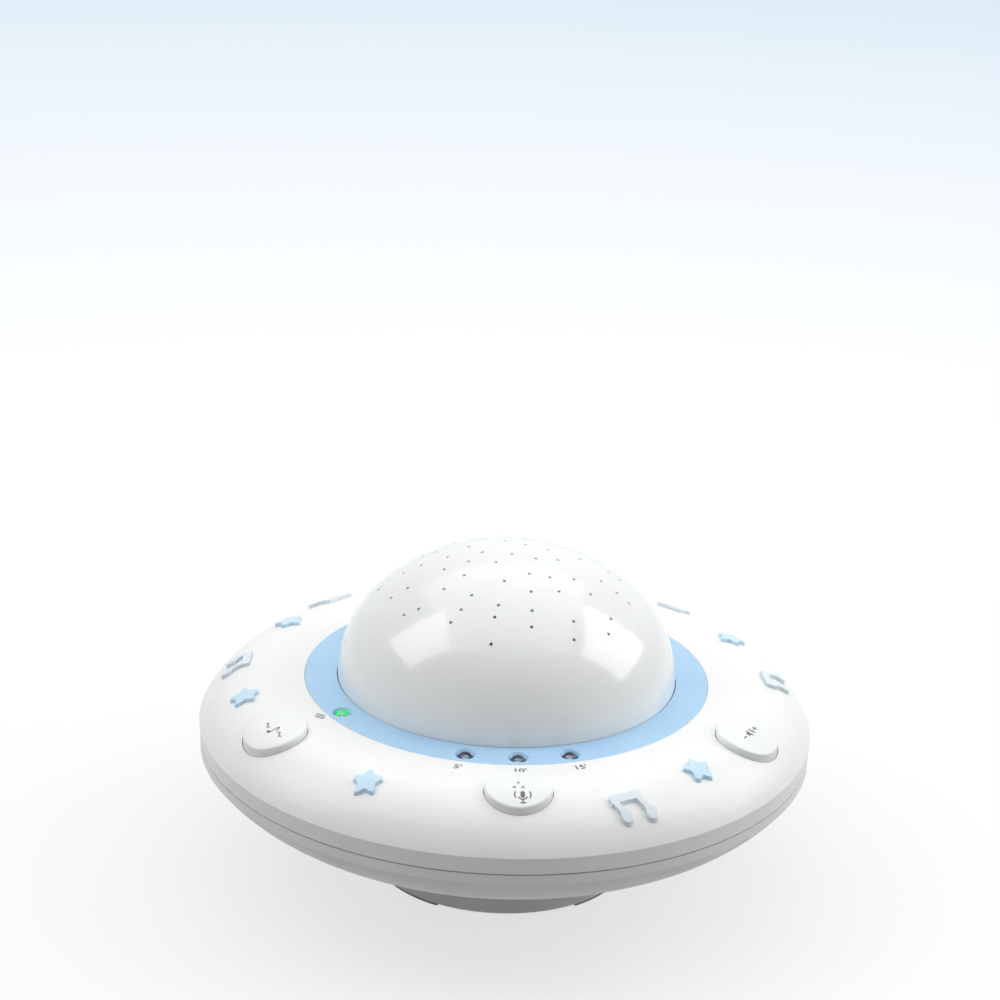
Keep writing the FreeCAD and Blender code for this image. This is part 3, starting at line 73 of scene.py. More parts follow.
def seen_rays(tree: bpy.types.NodeTree) -> bpy.types.NodeSocket:
    """1 for what the camera sees directly, in a reflection or through glass, and 0 for other light.

    Args:
        tree: The node tree of a material or the world.

    Returns:
        The output that carries it.
    """
    path = tree.nodes.new("ShaderNodeLightPath")
    seen = path.outputs["Is Camera Ray"]
    for kind in ("Is Transmission Ray", "Is Glossy Ray"):
        either = tree.nodes.new("ShaderNodeMath")
        either.operation = "MAXIMUM"
        tree.links.new(seen, either.inputs[0])
        tree.links.new(path.outputs[kind], either.inputs[1])
        seen = either.outputs[0]
    return seen


class Shader:
    """One material and its node tree, with short calls to add and join nodes."""

    def __init__(self, name: str) -> None:
        """Makes a material with a Principled surface.

        Args:
            name: The material's name.
        """
        self.material = bpy.data.materials.new(name)
        self.material.use_nodes = True
        self.tree = self.material.node_tree
        self.surface = self.tree.nodes["Principled BSDF"]

    def node(self, kind: str, settings: dict | None = None, **inputs: object) -> bpy.types.Node:
        """Adds one node.

        Args:
            kind: The node's type, without the ShaderNode prefix.
            settings: Values of the node's own properties.
            **inputs: Values or output sockets for its inputs, named with _ for a space.

        Returns:
            The new node.
        """
        made = self.tree.nodes.new("ShaderNode" + kind)
        for name, value in (settings or {}).items():
            setattr(made, name, value)
        for name, value in inputs.items():
            self.feed(made.inputs[name.replace("_", " ")], value)
        return made

    def feed(self, socket: bpy.types.NodeSocket, value: object) -> None:
        """Links an output to a socket, or sets the socket's own value."""
        if isinstance(value, bpy.types.NodeSocket):
            self.tree.links.new(value, socket)
        else:
            socket.default_value = value

    def set(self, **inputs: object) -> None:
        """Sets or links inputs of the surface, named with _ for a space."""
        for name, value in inputs.items():
            self.feed(self.surface.inputs[name.replace("_", " ")], value)

    def place(self) -> bpy.types.NodeSocket:
        """The object's own coordinates, in metres."""
        return self.node("TexCoord").outputs["Object"]

    def noise(self, size: float, detail: float = 3.0, stretch: tuple = (1, 1, 1)) -> bpy.types.NodeSocket:
        """Cloudy variation between about 0 and 1.

        Args:
            size: How wide its patches are, in metres.
            detail: How many finer layers it has.
            stretch: How much its patches are squeezed along each axis.

        Returns:
            The output that carries the variation.
        """
        spread = self.node("Mapping", Vector=self.place(), Scale=stretch)
        made = self.node("TexNoise", Vector=spread.outputs[0], Scale=1 / size, Detail=detail)
        return made.outputs["Fac"]

    def between(self, share: bpy.types.NodeSocket, low: float, high: float) -> bpy.types.NodeSocket:
        """Maps a share of 0.3 to 0.7 onto a range of values."""
        made = self.node("MapRange", Value=share, From_Min=0.3, From_Max=0.7, To_Min=low, To_Max=high)
        return made.outputs[0]

    def blend(self, share: object, first: object, second: object) -> bpy.types.NodeSocket:
        """A colour between two.

        Args:
            share: How much of the second colour shows, from 0 to 1.
            first: The colour at 0.
            second: The colour at 1.

        Returns:
            The output that carries the colour.
        """
        made = self.tree.nodes.new("ShaderNodeMix")
        made.data_type = "RGBA"
        for index, value in ((0, share), (6, first), (7, second)):
            self.feed(made.inputs[index], value)
        return made.outputs[2]

    def bump(self, height: bpy.types.NodeSocket, depth: float, strength: float = 1.0,
             under: bpy.types.NodeSocket | None = None) -> bpy.types.NodeSocket:
        """Surface relief from a height.

        Args:
            height: The height, from 0 to 1.
            depth: What a height of 1 measures, in metres.
            strength: How much of the relief shows.
            under: Coarser relief that this one lies on.

        Returns:
            The output that carries the bent normal.
        """
        made = self.node("Bump", Height=height, Distance=depth, Strength=strength)
        if under is not None:
            self.feed(made.inputs["Normal"], under)
        return made.outputs[0]


@dataclass(frozen=True)
class MouldedPlastic:
    """Injection-moulded plastic: faint clouding, handling smudges and the slow waves of a polished mould."""

    name: str
    colour: tuple[int, int, int]
    shade: tuple[int, int, int]
    roughness: float = 0.3
    smudge: float = 0.03
    wave: float = 0.006 * MM
    grain: float = 0.0
    coat: float = 0.0
    coat_roughness: float = 0.14
    glow: float = 0.0
    ior: float = 1.5

    def build(self) -> bpy.types.Material:
        """Makes the material.

        Returns:
            The material.
        """
        shader = Shader(self.name)
        cloud = shader.between(shader.noise(26 * MM, 3), 0.0, 1.0)
        smudges = shader.noise(14 * MM, 2, (1.0, 0.6, 1.3))
        relief = shader.bump(shader.noise(11 * MM, 0), self.wave, 1.0)
        if self.grain:
            relief = shader.bump(shader.noise(0.7 * MM, 2), self.grain, 0.8, relief)
        shader.set(
            Base_Color=shader.blend(cloud, linear(self.colour), linear(self.shade)),
            Roughness=shader.between(smudges, self.roughness - self.smudge, self.roughness + self.smudge),
            Normal=relief,
            IOR=self.ior,
            Coat_Weight=self.coat,
            Coat_Roughness=self.coat_roughness,
            Subsurface_Weight=self.glow,
            Subsurface_Radius=(1.0, 0.9, 0.8),
            Subsurface_Scale=2.5 * MM,
        )
        return shader.material


@dataclass(frozen=True)
class Metal:
    """Plated or drawn metal, with fine scratches one way."""

    name: str
    colour: tuple[int, int, int]
    shade: tuple[int, int, int]
    roughness: float = 0.3
    grain: tuple[float, float, float] = (1.0, 8.0, 1.0)

    def build(self) -> bpy.types.Material:
        """Makes the material.

        Returns:
            The material.
        """
        shader = Shader(self.name)
        scratches = shader.noise(0.6 * MM, 4, self.grain)
        cloud = shader.between(shader.noise(3 * MM, 3), 0.0, 1.0)
        shader.set(
            Base_Color=shader.blend(cloud, linear(self.colour), linear(self.shade)),
            Metallic=1.0,
            Roughness=shader.between(scratches, self.roughness - 0.08, self.roughness + 0.1),
            Normal=shader.bump(scratches, 0.006 * MM, 0.5),
        )
        return shader.material


@dataclass(frozen=True)
class LampLens:
    """Clear cast resin of an indicator lamp, faintly hazy inside."""

    name: str
    tint: tuple[int, int, int]
    haze: float = 0.03

    def build(self) -> bpy.types.Material:
        """Makes the material.

        Returns:
            The material.
        """
        shader = Shader(self.name)
        haze = shader.noise(1.6 * MM, 2)
        shader.set(
            Base_Color=shader.blend(shader.between(haze, 0.0, 0.25), linear(self.tint), (1, 1, 1, 1)),
            Roughness=shader.between(haze, 0.01, self.haze),
            Transmission_Weight=1.0,
            IOR=1.5,
        )
        return shader.material


@dataclass(frozen=True)
class LampBase:
    """The moulded base inside a lamp's lens, which glows where its chip is lit; in an unlit lamp its dark navy is
    painted shade for the shadowed inside.
    """

    name: str
    colour: tuple[int, int, int]
    light: tuple[int, int, int] = (0, 0, 0)
    lit: float = 0.0

    def build(self) -> bpy.types.Material:
        """Makes the material.

        Returns:
            The material.
        """
        shader = Shader(self.name)
        cloud = shader.between(shader.noise(0.8 * MM, 2), 0.0, 0.5)
        shader.set(
            Base_Color=shader.blend(cloud, linear(self.colour), linear(tuple(c // 2 for c in self.colour))),
            Roughness=shader.between(shader.noise(1.0 * MM), 0.3, 0.45),
            Emission_Color=linear(self.light),
            Emission_Strength=self.lit,
        )
        return shader.material


@dataclass(frozen=True)
class Rubber:
    """Soft moulded rubber, matt and a little dusty."""

    name: str
    colour: tuple[int, int, int]
    dust: tuple[int, int, int]

    def build(self) -> bpy.types.Material:
        """Makes the material.

        Returns:
            The material.
        """
        shader = Shader(self.name)
        dusty = shader.between(shader.noise(2 * MM, 6), 0.0, 0.6)
        shader.set(
            Base_Color=shader.blend(dusty, linear(self.colour), linear(self.dust)),
            Roughness=shader.between(shader.noise(5 * MM), 0.65, 0.85),
            Normal=shader.bump(shader.noise(0.25 * MM, 2), 0.02 * MM, 0.6),
        )
        return shader.material


@dataclass(frozen=True)
class BoardMask:
    """Solder mask over copper tracks, which stand proud as faint lines."""

    name: str
    mask: tuple[int, int, int] = (28, 92, 58)
    track: tuple[int, int, int] = (52, 128, 80)

    def build(self) -> bpy.types.Material:
        """Makes the material.

        Returns:
            The material.
        """
        shader = Shader(self.name)
        cells = shader.node("TexVoronoi", {"feature": "DISTANCE_TO_EDGE", "distance": "EUCLIDEAN"},
                            Vector=shader.place(), Scale=1 / (4 * MM))
        lines = shader.node("MapRange", Value=cells.outputs["Distance"],
                            From_Min=0.03, From_Max=0.05, To_Min=1.0, To_Max=0.0).outputs[0]
        shader.set(
            Base_Color=shader.blend(lines, linear(self.mask), linear(self.track)),
            Roughness=shader.between(shader.noise(3 * MM), 0.25, 0.4),
            Normal=shader.bump(lines, 0.03 * MM, 0.7),
        )
        return shader.material


@dataclass(frozen=True)
class CellWrap:
    """The printed sleeve of a dry cell: a plain body with a coloured band at one end."""

    name: str
    body: tuple[int, int, int] = (188, 192, 196)
    band: tuple[int, int, int] = (44, 84, 140)
    band_from: float = 0.008

    def build(self) -> bpy.types.Material:
        """Makes the material.

        Returns:
            The material.
        """
        shader = Shader(self.name)
        along = shader.node("SeparateXYZ", Vector=shader.place()).outputs["Y"]
        banded = shader.node("MapRange", Value=along, From_Min=self.band_from,
                             From_Max=self.band_from + 0.2 * MM).outputs[0]
        worn = shader.between(shader.noise(1.5 * MM, 5), 0.0, 0.12)
        print_colour = shader.blend(banded, linear(self.body), linear(self.band))
        shader.set(
            Base_Color=shader.blend(worn, print_colour, linear((230, 230, 230))),
            Metallic=0.25,
            Roughness=shader.between(shader.noise(4 * MM), 0.22, 0.34),
            Normal=shader.bump(shader.noise(0.8 * MM), 0.01 * MM, 0.4),
        )
        return shader.material


@dataclass(frozen=True)
class ConePaper:
    """Pressed paper of a small speaker's cone."""

    name: str
    colour: tuple[int, int, int] = (38, 38, 40)

    def build(self) -> bpy.types.Material:
        """Makes the material.

        Returns:
            The material.
        """
        shader = Shader(self.name)
        fibre = shader.noise(0.5 * MM, 8, (1, 4, 1))
        shader.set(
            Base_Color=shader.blend(shader.between(fibre, 0, 0.7), linear(self.colour), linear((78, 76, 74))),
            Roughness=shader.between(fibre, 0.75, 0.95),
            Normal=shader.bump(fibre, 0.05 * MM, 0.8),
        )
        return shader.material


@dataclass(frozen=True)
class Ink:
    """Pad-printed ink, a little uneven."""

    name: str
    colour: tuple[int, int, int]
    thin: tuple[int, int, int]

    def build(self) -> bpy.types.Material:
        """Makes the material.

        Returns:
            The material.
        """
        shader = Shader(self.name)
        uneven = shader.between(shader.noise(0.35 * MM, 4), 0.0, 0.6)
        shader.set(
            Base_Color=shader.blend(uneven, linear(self.colour), linear(self.thin)),
            Roughness=shader.between(shader.noise(0.6 * MM), 0.4, 0.55),
            Normal=shader.bump(shader.noise(0.2 * MM), 0.003 * MM, 0.5),
        )
        return shader.material


class Slot(Enum):
    """The record's material slots and the finish that each one has here."""

    white_shell = MouldedPlastic("shell_plastic", (247, 248, 247), (244, 246, 245), 0.34)
    # Painted shade: the base plastic is the shell's white made a little darker and greener, as the lower parts
    # look in shade.
    white_base = MouldedPlastic("painted_shade_base_plastic", (238, 241, 237), (234, 237, 233), 0.36)
    dome_white = MouldedPlastic("dome_plastic", (243, 246, 245), (240, 243, 242), 0.22, 0.02, 0.003 * MM,
                                coat=0.7, coat_roughness=0.07, glow=0.1)
    ring_blue = MouldedPlastic("ring_plastic", (176, 215, 246), (170, 210, 243), 0.34)
    pad_white = MouldedPlastic("pad_plastic", (246, 248, 248), (242, 245, 245), 0.32)
    inlay_blue = MouldedPlastic("inlay_plastic", (206, 234, 251), (199, 229, 249), 0.34)
    note_pale = MouldedPlastic("note_plastic", (231, 240, 247), (225, 236, 244), 0.34)
    lamp_green = LampLens("green_lens", (196, 240, 216))
    lamp_clear = LampLens("clear_lens", (226, 240, 250))
    rubber_grey = Rubber("foot_rubber", (150, 152, 152), (176, 176, 174))
    rubber_black = Rubber("boot_rubber", (30, 30, 31), (58, 56, 54))
    board_green = BoardMask("board_mask")
    part_black = MouldedPlastic("black_plastic", (32, 33, 35), (38, 39, 41), 0.45, grain=0.004 * MM)
    plug_white = MouldedPlastic("plug_plastic", (226, 226, 218), (219, 219, 210), 0.4)
    tower_white = MouldedPlastic("tower_plastic", (232, 233, 230), (226, 227, 224), 0.4)
    steel = Metal("plated_steel", (196, 198, 202), (176, 178, 182))
    spring_steel = Metal("spring_steel", (206, 204, 200), (186, 184, 178), 0.26)
    aluminium = Metal("aluminium_sheet", (204, 206, 208), (190, 192, 195), 0.4)
    can_metal = Metal("can_metal", (178, 182, 188), (160, 164, 170), 0.28)
    brass = Metal("turned_brass", (204, 170, 96), (184, 150, 78), 0.28)
    magnet_dark = Metal("magnet_plating", (92, 94, 98), (74, 76, 80), 0.42)
    cone_paper = ConePaper("cone_paper")
    cell_wrap = CellWrap("cell_wrap")
    # Painted shade: the door plastic is likewise a little darker and greener than the shell's white, as the lower
    # parts look in shade.
    door_white = MouldedPlastic("painted_shade_door_plastic", (236, 239, 236), (231, 234, 231), 0.34, coat=0.1)


class Surfaces:
    """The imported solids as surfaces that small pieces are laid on."""

    def __init__(self) -> None:
        """Starts with no surface read."""
        self.trees: dict[str, tuple[BVHTree, Vector, Vector]] = {}

    def meet(self, node: str, x: float, y: float, below: bool = False) -> tuple[Vector, Vector]:
        """Where a plumb line first meets a solid.

        Args:
            node: The solid's name.
            x: The line's place.
            y: The line's place.
            below: Whether the line comes from under the solid.

        Returns:
            The point met and the surface's normal there.
        """
        if node not in self.trees:
            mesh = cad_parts[node].data
            corners = [v.co for v in mesh.vertices]
            tree = BVHTree.FromPolygons(corners, [tuple(p.vertices) for p in mesh.polygons])
            self.trees[node] = (tree, *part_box(node))
        tree, low, high = self.trees[node]
        start = Vector((x, y, low.z - PROBE_CLEARANCE if below else high.z + PROBE_CLEARANCE))
        place, normal, _, _ = tree.ray_cast(start, Vector((0, 0, 1 if below else -1)))
        return place, normal


SURFACES = Surfaces()


def around(azimuth: float, radius: float, height: float = 0.0) -> Vector:
    """The point at an azimuth in degrees, a radius and a height."""
    angle = math.radians(azimuth)
    return Vector((radius * math.sin(angle), -radius * math.cos(angle), height))


def piece_of(name: str, mesh_data: bmesh.types.BMesh, body: str, material: bpy.types.Material) -> bpy.types.Object:
    """Turns built mesh data into a finished piece of the object.

    Args:
        name: The piece's name.
        mesh_data: Its mesh, which is used up.
        body: The body that it rides on.
        material: Its finish.

    Returns:
        The piece.
    """
    bmesh.ops.recalc_face_normals(mesh_data, faces=mesh_data.faces[:])
    mesh = bpy.data.meshes.new(name)
    mesh_data.to_mesh(mesh)
    mesh_data.free()
    mesh.materials.append(material)
    piece = bpy.data.objects.new(name, mesh)
    bpy.context.scene.collection.objects.link(piece)
    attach(piece, body)
    return piece


def lathe(outline: list[tuple[float, float]], centre: Vector, steps: int = 40) -> bmesh.types.BMesh:
    """A closed round body from half of its outline.

    Args:
        outline: Radius and height of each corner, from the axis and back to it.
        centre: Where its axis stands.
        steps: How many sides it has round the axis.

    Returns:
        The mesh data.
    """
    made = bmesh.new()
    rings = []
    for radius, height in outline:
        if radius < ON_AXIS:
            rings.append([made.verts.new(centre + Vector((0, 0, height)))] * steps)
            continue
        turn = [2 * math.pi * i / steps for i in range(steps)]
        rings.append([made.verts.new(centre + Vector((radius * math.cos(a), radius * math.sin(a), height)))
                      for a in turn])
    for lower, upper in zip(rings, rings[1:]):
        for i in range(steps):
            j = (i + 1) % steps
            corners = list(dict.fromkeys((lower[i], lower[j], upper[j], upper[i])))
            if len(corners) > 2:
                made.faces.new(corners)
    for face in made.faces:
        face.smooth = True
    return made


class Drawing:
    """A flat sign about its own middle, with +Y pointing up the sign."""

    capital_share = 0.7
    boldness = 0.03
    bow_steps = 12
    disc_steps = 20

    def __init__(self, unit: float) -> None:
        """Starts an empty sign.

        Args:
            unit: What a length of 1 measures, in metres.
        """
        self.unit = unit
        self.flat = bmesh.new()

    def fill(self, corners: list[tuple[float, float]]) -> None:
        """Adds one filled shape."""
        placed = [self.flat.verts.new((x * self.unit, y * self.unit, 0)) for x, y in corners]
        self.flat.faces.new(placed)

    def stroke(self, points: list[tuple[float, float]], width: float = 0.24) -> None:
        """Adds a line of even width.

        Args:
            points: The points it runs through, in units.
            width: Its width, in units.
        """
        pairs = []
        for i, here in enumerate(points):
            along = Vector(points[min(len(points) - 1, i + 1)]) - Vector(points[max(0, i - 1)])
            side = Vector((-along.y, along.x)).normalized() * width / 2
            edges = [(Vector(here) + end * side) * self.unit for end in (1, -1)]
            pairs.append([self.flat.verts.new((*edge, 0)) for edge in edges])
        for (a, b), (c, d) in zip(pairs, pairs[1:]):
            self.flat.faces.new((a, b, d, c))

    def bow(self, x: float, y: float, radius: float, start: float, end: float) -> None:
        """Adds a curved line about a point, between two angles in degrees."""
        turns = [math.radians(start + (end - start) * i / self.bow_steps) for i in range(self.bow_steps + 1)]
        self.stroke([(x + radius * math.cos(a), y + radius * math.sin(a)) for a in turns])

    def disc(self, x: float, y: float, radius: float, squash: float = 1.0) -> None:
        """Adds a round or oval spot."""
        turns = [2 * math.pi * i / self.disc_steps for i in range(self.disc_steps)]
        self.fill([(x + radius * math.cos(a), y + squash * radius * math.sin(a)) for a in turns])

    def figures(self, text: str) -> None:
        """Adds plain figures or letters, 1 unit tall, about the middle.

        Args:
            text: What they say.
        """
        curve = bpy.data.curves.new("figures", "FONT")
        curve.body = text
        curve.size = self.unit / self.capital_share
        curve.align_x = "CENTER"
        curve.align_y = "CENTER"
        curve.resolution_u = 3
        curve.offset = self.boldness * self.unit
        holder = bpy.data.objects.new("figures", curve)
        bpy.context.scene.collection.objects.link(holder)
        bpy.context.view_layer.update()
        mesh = bpy.data.meshes.new_from_object(holder)
        self.flat.from_mesh(mesh)
        bpy.data.objects.remove(holder)
        bpy.data.curves.remove(curve)
        bpy.data.meshes.remove(mesh)


@dataclass
class Print:
    """A sign laid on a solid's surface as a thin film of ink."""

    name: str
    node: str
    body: str
    centre: Vector
    turn: float = 0.0
    below: bool = False
    film: float = 0.03 * MM

    def lay(self, drawing: Drawing, material: bpy.types.Material) -> bpy.types.Object:
        """Lays a drawing on the surface.

        Args:
            drawing: The sign, which is used up.
            material: Its ink.

        Returns:
            The finished piece, which rides on its body.
        """
        flat = drawing.flat
        spin = Matrix.Rotation(math.radians(self.turn), 3, "Z")
        if self.below:
            spin = spin @ Matrix.Diagonal((1, -1, 1))
        bmesh.ops.subdivide_edges(flat, edges=flat.edges[:], cuts=1, use_grid_fill=False)
        bmesh.ops.triangulate(flat, faces=flat.faces[:])
        rim = [e for e in flat.edges if e.is_boundary]
        tops = set(flat.verts)
        bmesh.ops.extrude_edge_only(flat, edges=rim)
        for vertex in flat.verts:
            place = self.centre + spin @ Vector((vertex.co.x, vertex.co.y, 0))
            ground, normal = SURFACES.meet(self.node, place.x, place.y, self.below)
            vertex.co = ground + normal * self.film * (1 if vertex in tops else -1)
        return piece_of(self.name, flat, self.body, material)


@dataclass
class Captions:
    """The generic signs printed beside the lamps, on the pads and on the cells."""

    lamp_figures: tuple[str, ...] = ("5'", "10'", "15'")
    lamp_spread: float = 15.7
    lamp_orbit: float = 73.2 * MM
    figure_height: float = 2.7 * MM
    level_spot: tuple[float, float] = (-62.5, 71.9 * MM)
    tune_spot: tuple[float, float] = (-60.6, 90.6 * MM)
    microphone_spot: tuple[float, float] = (-0.1, 91.2 * MM)
    loudness_spot: tuple[float, float] = (59.6, 90.2 * MM)
    sign_unit: float = 1.9 * MM
    cell_sign_y: float = 15.5 * MM
    cell_sign_unit: float = 2 * MM
    ink: Ink = field(default_factory=lambda: Ink("print_ink", (96, 94, 92), (128, 126, 124)))

    def build(self) -> list[bpy.types.Object]:
        """Prints every sign.

        Returns:
            The printed pieces.
        """
        material = self.ink.build()
        made = []
        for index, figure in enumerate(self.lamp_figures):
            azimuth = (index - 1) * self.lamp_spread
            drawing = Drawing(self.figure_height)
            drawing.figures(figure)
            made.append(self.on_deck(f"caption_{index + 1}", "upper_housing", "base",
                                     (azimuth, self.lamp_orbit), drawing, material))
        made.append(self.on_deck("sound_level_sign", "upper_housing", "base", self.level_spot,
                                 self.level(), material))
        made.append(self.on_deck("tune_sign", "mode_button", "mode_button", self.tune_spot,
                                 self.tune(), material))
        made.append(self.on_deck("microphone_sign", "mic_pad", "base", self.microphone_spot,
                                 self.microphone(), material))
        made.append(self.on_deck("loudness_sign", "volume_button", "volume_button", self.loudness_spot,
                                 self.loudness(), material))
        for index in range(CELL_COUNT):
            made += self.on_cell(index, material)
        return made

    def on_deck(self, name: str, node: str, body: str, spot: tuple[float, float], drawing: Drawing,
                material: bpy.types.Material) -> bpy.types.Object:
        """Prints a sign at an azimuth and radius, with its top towards the dome."""
        return Print(name, node, body, around(*spot), spot[0]).lay(drawing, material)

    def on_cell(self, index: int, material: bpy.types.Material) -> list[bpy.types.Object]:
        """Prints the two pole signs on the side of a cell that faces the door.

        Args:
            index: Which cell, counted from 0.
            material: The ink.

        Returns:
            The plus and the minus.
        """
        low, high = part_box(f"cell_{index + 1}")
        side = 1 if index % 2 == 0 else -1
        made = []
        for name, end in (("plus", side), ("minus", -side)):
            drawing = Drawing(self.cell_sign_unit)
            drawing.stroke([(-0.6, 0), (0.6, 0)])
            if name == "plus":
                drawing.stroke([(0, 0.12), (0, 0.6)])
                drawing.stroke([(0, -0.6), (0, -0.12)])
            centre = Vector(((low.x + high.x) / 2, end * self.cell_sign_y, 0))
            made.append(Print(f"cell_{index + 1}_{name}", f"cell_{index + 1}", "base", centre, below=True)
                        .lay(drawing, material))
        return made

    def level(self) -> Drawing:
        """Five bars of a sound level.

        Returns:
            The sign.
        """
        sign = Drawing(self.sign_unit)
        for index, height in enumerate((0.35, 0.7, 1.0, 0.6, 0.4)):
            x = (index - 2) * 0.5
            sign.stroke([(x, -height), (x, height)], 0.26)
        return sign

    def tune(self) -> Drawing:
        """A note between two waves.

        Returns:
            The sign.
        """
        sign = Drawing(self.sign_unit)
        sign.disc(-0.35, -0.85, 0.42, 0.75)
        sign.stroke([(0.0, -0.8), (0.0, 1.1)])
        sign.stroke([(0.1, 1.05), (0.55, 0.6), (0.6, 0.15)])
        for x in (-2.1, 2.0):
            steps = [i / 8 for i in range(9)]
            sign.stroke([(x - 0.8 + 1.6 * t, 0.35 * math.sin(2 * math.pi * t)) for t in steps])
        return sign

    def microphone(self) -> Drawing:
        """A microphone on its stand, with a curve on each side.

        Returns:
            The sign.
        """
        sign = Drawing(self.sign_unit)
        turns = [math.radians(10 * i) for i in range(19)]
        top = [(0.38 * math.cos(a), 0.7 + 0.38 * math.sin(a)) for a in turns]
        foot = [(-0.38 * math.cos(a), -0.05 - 0.38 * math.sin(a)) for a in turns]
        sign.fill(top + foot)
        sign.bow(0, 0.0, 0.72, 190, 350)
        sign.stroke([(0, -0.86), (0, -1.25)])
        sign.stroke([(-0.5, -1.37), (0.5, -1.37)])
        for side in (0, 180):
            sign.bow(0, 0.3, 1.35, side - 32, side + 32)
        return sign

    def loudness(self) -> Drawing:
        """A loudspeaker with sound waves, between a minus and a plus.

        Returns:
            The sign.
        """
        sign = Drawing(self.sign_unit)
        sign.fill([(-0.75, -0.35), (-0.3, -0.35), (0.25, -0.9), (0.25, 0.9), (-0.3, 0.35), (-0.75, 0.35)])
        sign.bow(0.3, 0, 0.55, -45, 45)
        sign.bow(0.3, 0, 1.0, -45, 45)
        sign.stroke([(-2.3, 0), (-1.3, 0)])
        sign.stroke([(1.8, 0), (2.8, 0)])
        sign.stroke([(2.3, 0.12), (2.3, 0.5)])
        sign.stroke([(2.3, -0.5), (2.3, -0.12)])
        return sign


@dataclass
class LampInsides:
    """What shows through the lenses of the indicator lamps: a base, whose dark navy in the unlit lamps is painted
    shade for their shadowed insides, and a reflector cup round its chip.
    """

    lit: str = "sound_lamp"
    dark: tuple[str, ...] = ("timer_lamp_1", "timer_lamp_2", "timer_lamp_3")
    base_radius: float = 2.25 * MM
    base_under_tip: float = 2.5 * MM
    base_depth: float = 1.4 * MM
    cup_radius: float = 0.75 * MM
    cup_height: float = 0.5 * MM
    cup_wall: float = 0.12 * MM
    cup_lift: float = 0.02 * MM
    chip_radius: float = 0.22 * MM
    chip_from: float = 0.2 * MM
    chip_to: float = 0.35 * MM
    edge_break: float = 0.15 * MM
    lit_base: LampBase = LampBase("lit_lamp_base", (30, 190, 110), (24, 190, 96), 1.1)
    # Painted shade: the unlit lamps' bases are dark navy to stand for the shadowed inside seen through the lens.
    painted_shade_base: LampBase = LampBase("painted_shade_lamp_base", (22, 44, 78))

    def build(self) -> list[bpy.types.Object]:
        """Makes the insides of every lamp.

        Returns:
            The pieces.
        """
        metal = Metal("cup_plating", (206, 208, 212), (186, 190, 196), 0.25).build()
        made = []
        for names, finish in (((self.lit,), self.lit_base), (self.dark, self.painted_shade_base)):
            material = finish.build()
            for name in names:
                made += self.one(name, material, metal)
        return made

    def one(self, name: str, base: bpy.types.Material, metal: bpy.types.Material) -> list[bpy.types.Object]:
        """Makes the base and the cup inside one lamp.

        Args:
            name: The lamp's node.
            base: Finish of the base.
            metal: Finish of the cup.

        Returns:
            The pieces.
        """
        low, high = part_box(name)
        top = high.z - self.base_under_tip
        centre = Vector(((low.x + high.x) / 2, (low.y + high.y) / 2, top))
        wide, deep, edge = self.base_radius, self.base_depth, self.edge_break
        disc = lathe([(0, -deep), (wide, -deep), (wide, -edge), (wide - edge, 0), (0, 0)], centre)
        rim, tall, chip = self.cup_radius, self.cup_height, self.chip_radius
        cup = lathe([(0, self.cup_lift), (rim, self.cup_lift), (rim, tall), (rim - self.cup_wall, tall),
                     (chip, self.chip_from), (chip, self.chip_to), (0, self.chip_to)], centre, 24)
        return [piece_of(f"{name}_base", disc, "base", base),
                piece_of(f"{name}_cup", cup, "base", metal)]


@dataclass
class Underside:
    """Raised signs and grip bars moulded on the foot plate and the battery door."""

    raise_by: float = 0.15 * MM
    sink: float = 0.05 * MM
    sign_height: float = 2.0 * MM
    sign_x: float = 34.5 * MM
    sign_y: float = 8.0 * MM
    bar_length: float = 14.0 * MM
    bar_width: float = 0.9 * MM
    bar_pitch: float = 2.0 * MM
    bar_count: int = 5
    bar_y: float = -20.0 * MM

    def build(self) -> list[bpy.types.Object]:
        """Moulds the signs of the switch and the bars of the door.

        Returns:
            The raised pieces.
        """
        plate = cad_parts["lower_housing"].data.materials[0]
        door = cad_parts["battery_door"].data.materials[0]
        made = []
        for text, y in (("ON", self.sign_y), ("OFF", -self.sign_y)):
            drawing = Drawing(self.sign_height)
            drawing.figures(text)
            made.append(self.mould(f"switch_{text.lower()}_sign", drawing, Vector((self.sign_x, y, 0)),
                                   "lower_housing", "base", plate))
        for index in range(self.bar_count):
            drawing = Drawing(1.0)
            length = self.bar_length - abs(index - self.bar_count // 2) * self.bar_pitch
            drawing.stroke([(-length / 2, 0), (length / 2, 0)], self.bar_width)
            spot = Vector((0, self.bar_y + index * self.bar_pitch, 0))
            made.append(self.mould(f"door_bar_{index + 1}", drawing, spot,
                                   "battery_door", "battery_door", door))
        return made

    def mould(self, name: str, drawing: Drawing, spot: Vector, node: str, body: str,
              material: bpy.types.Material) -> bpy.types.Object:
        """Raises a drawing on a flat underside.

        Args:
            name: The piece's name.
            drawing: The shape, which is used up.
            spot: Where its middle lies.
            node: The solid it stands on.
            body: The body it rides on.
            material: Its finish.

        Returns:
            The finished piece.
        """
        flat = drawing.flat
        face = SURFACES.meet(node, spot.x, spot.y, True)[0].z
        kept = flat.faces[:]
        tops = bmesh.ops.extrude_face_region(flat, geom=kept)["geom"]
        lower = {g for g in tops if isinstance(g, bmesh.types.BMVert)}
        for vertex in flat.verts:
            level = face - self.raise_by if vertex in lower else face + self.sink
            vertex.co = Vector((spot.x + vertex.co.x, spot.y - vertex.co.y, level))
        return piece_of(name, flat, body, material)


@dataclass
class Solids:
    """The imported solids, each in the finish of its slot."""

    def dress(self) -> int:
        """Gives every solid its finish.

        Returns:
            How many solids were dressed.
        """
        finishes = {slot.name: slot.value.build() for slot in Slot}
        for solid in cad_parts.values():
            slot = solid.data.materials[0].name
            for index in range(len(solid.data.materials)):
                solid.data.materials[index] = finishes[slot]
        return len(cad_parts)


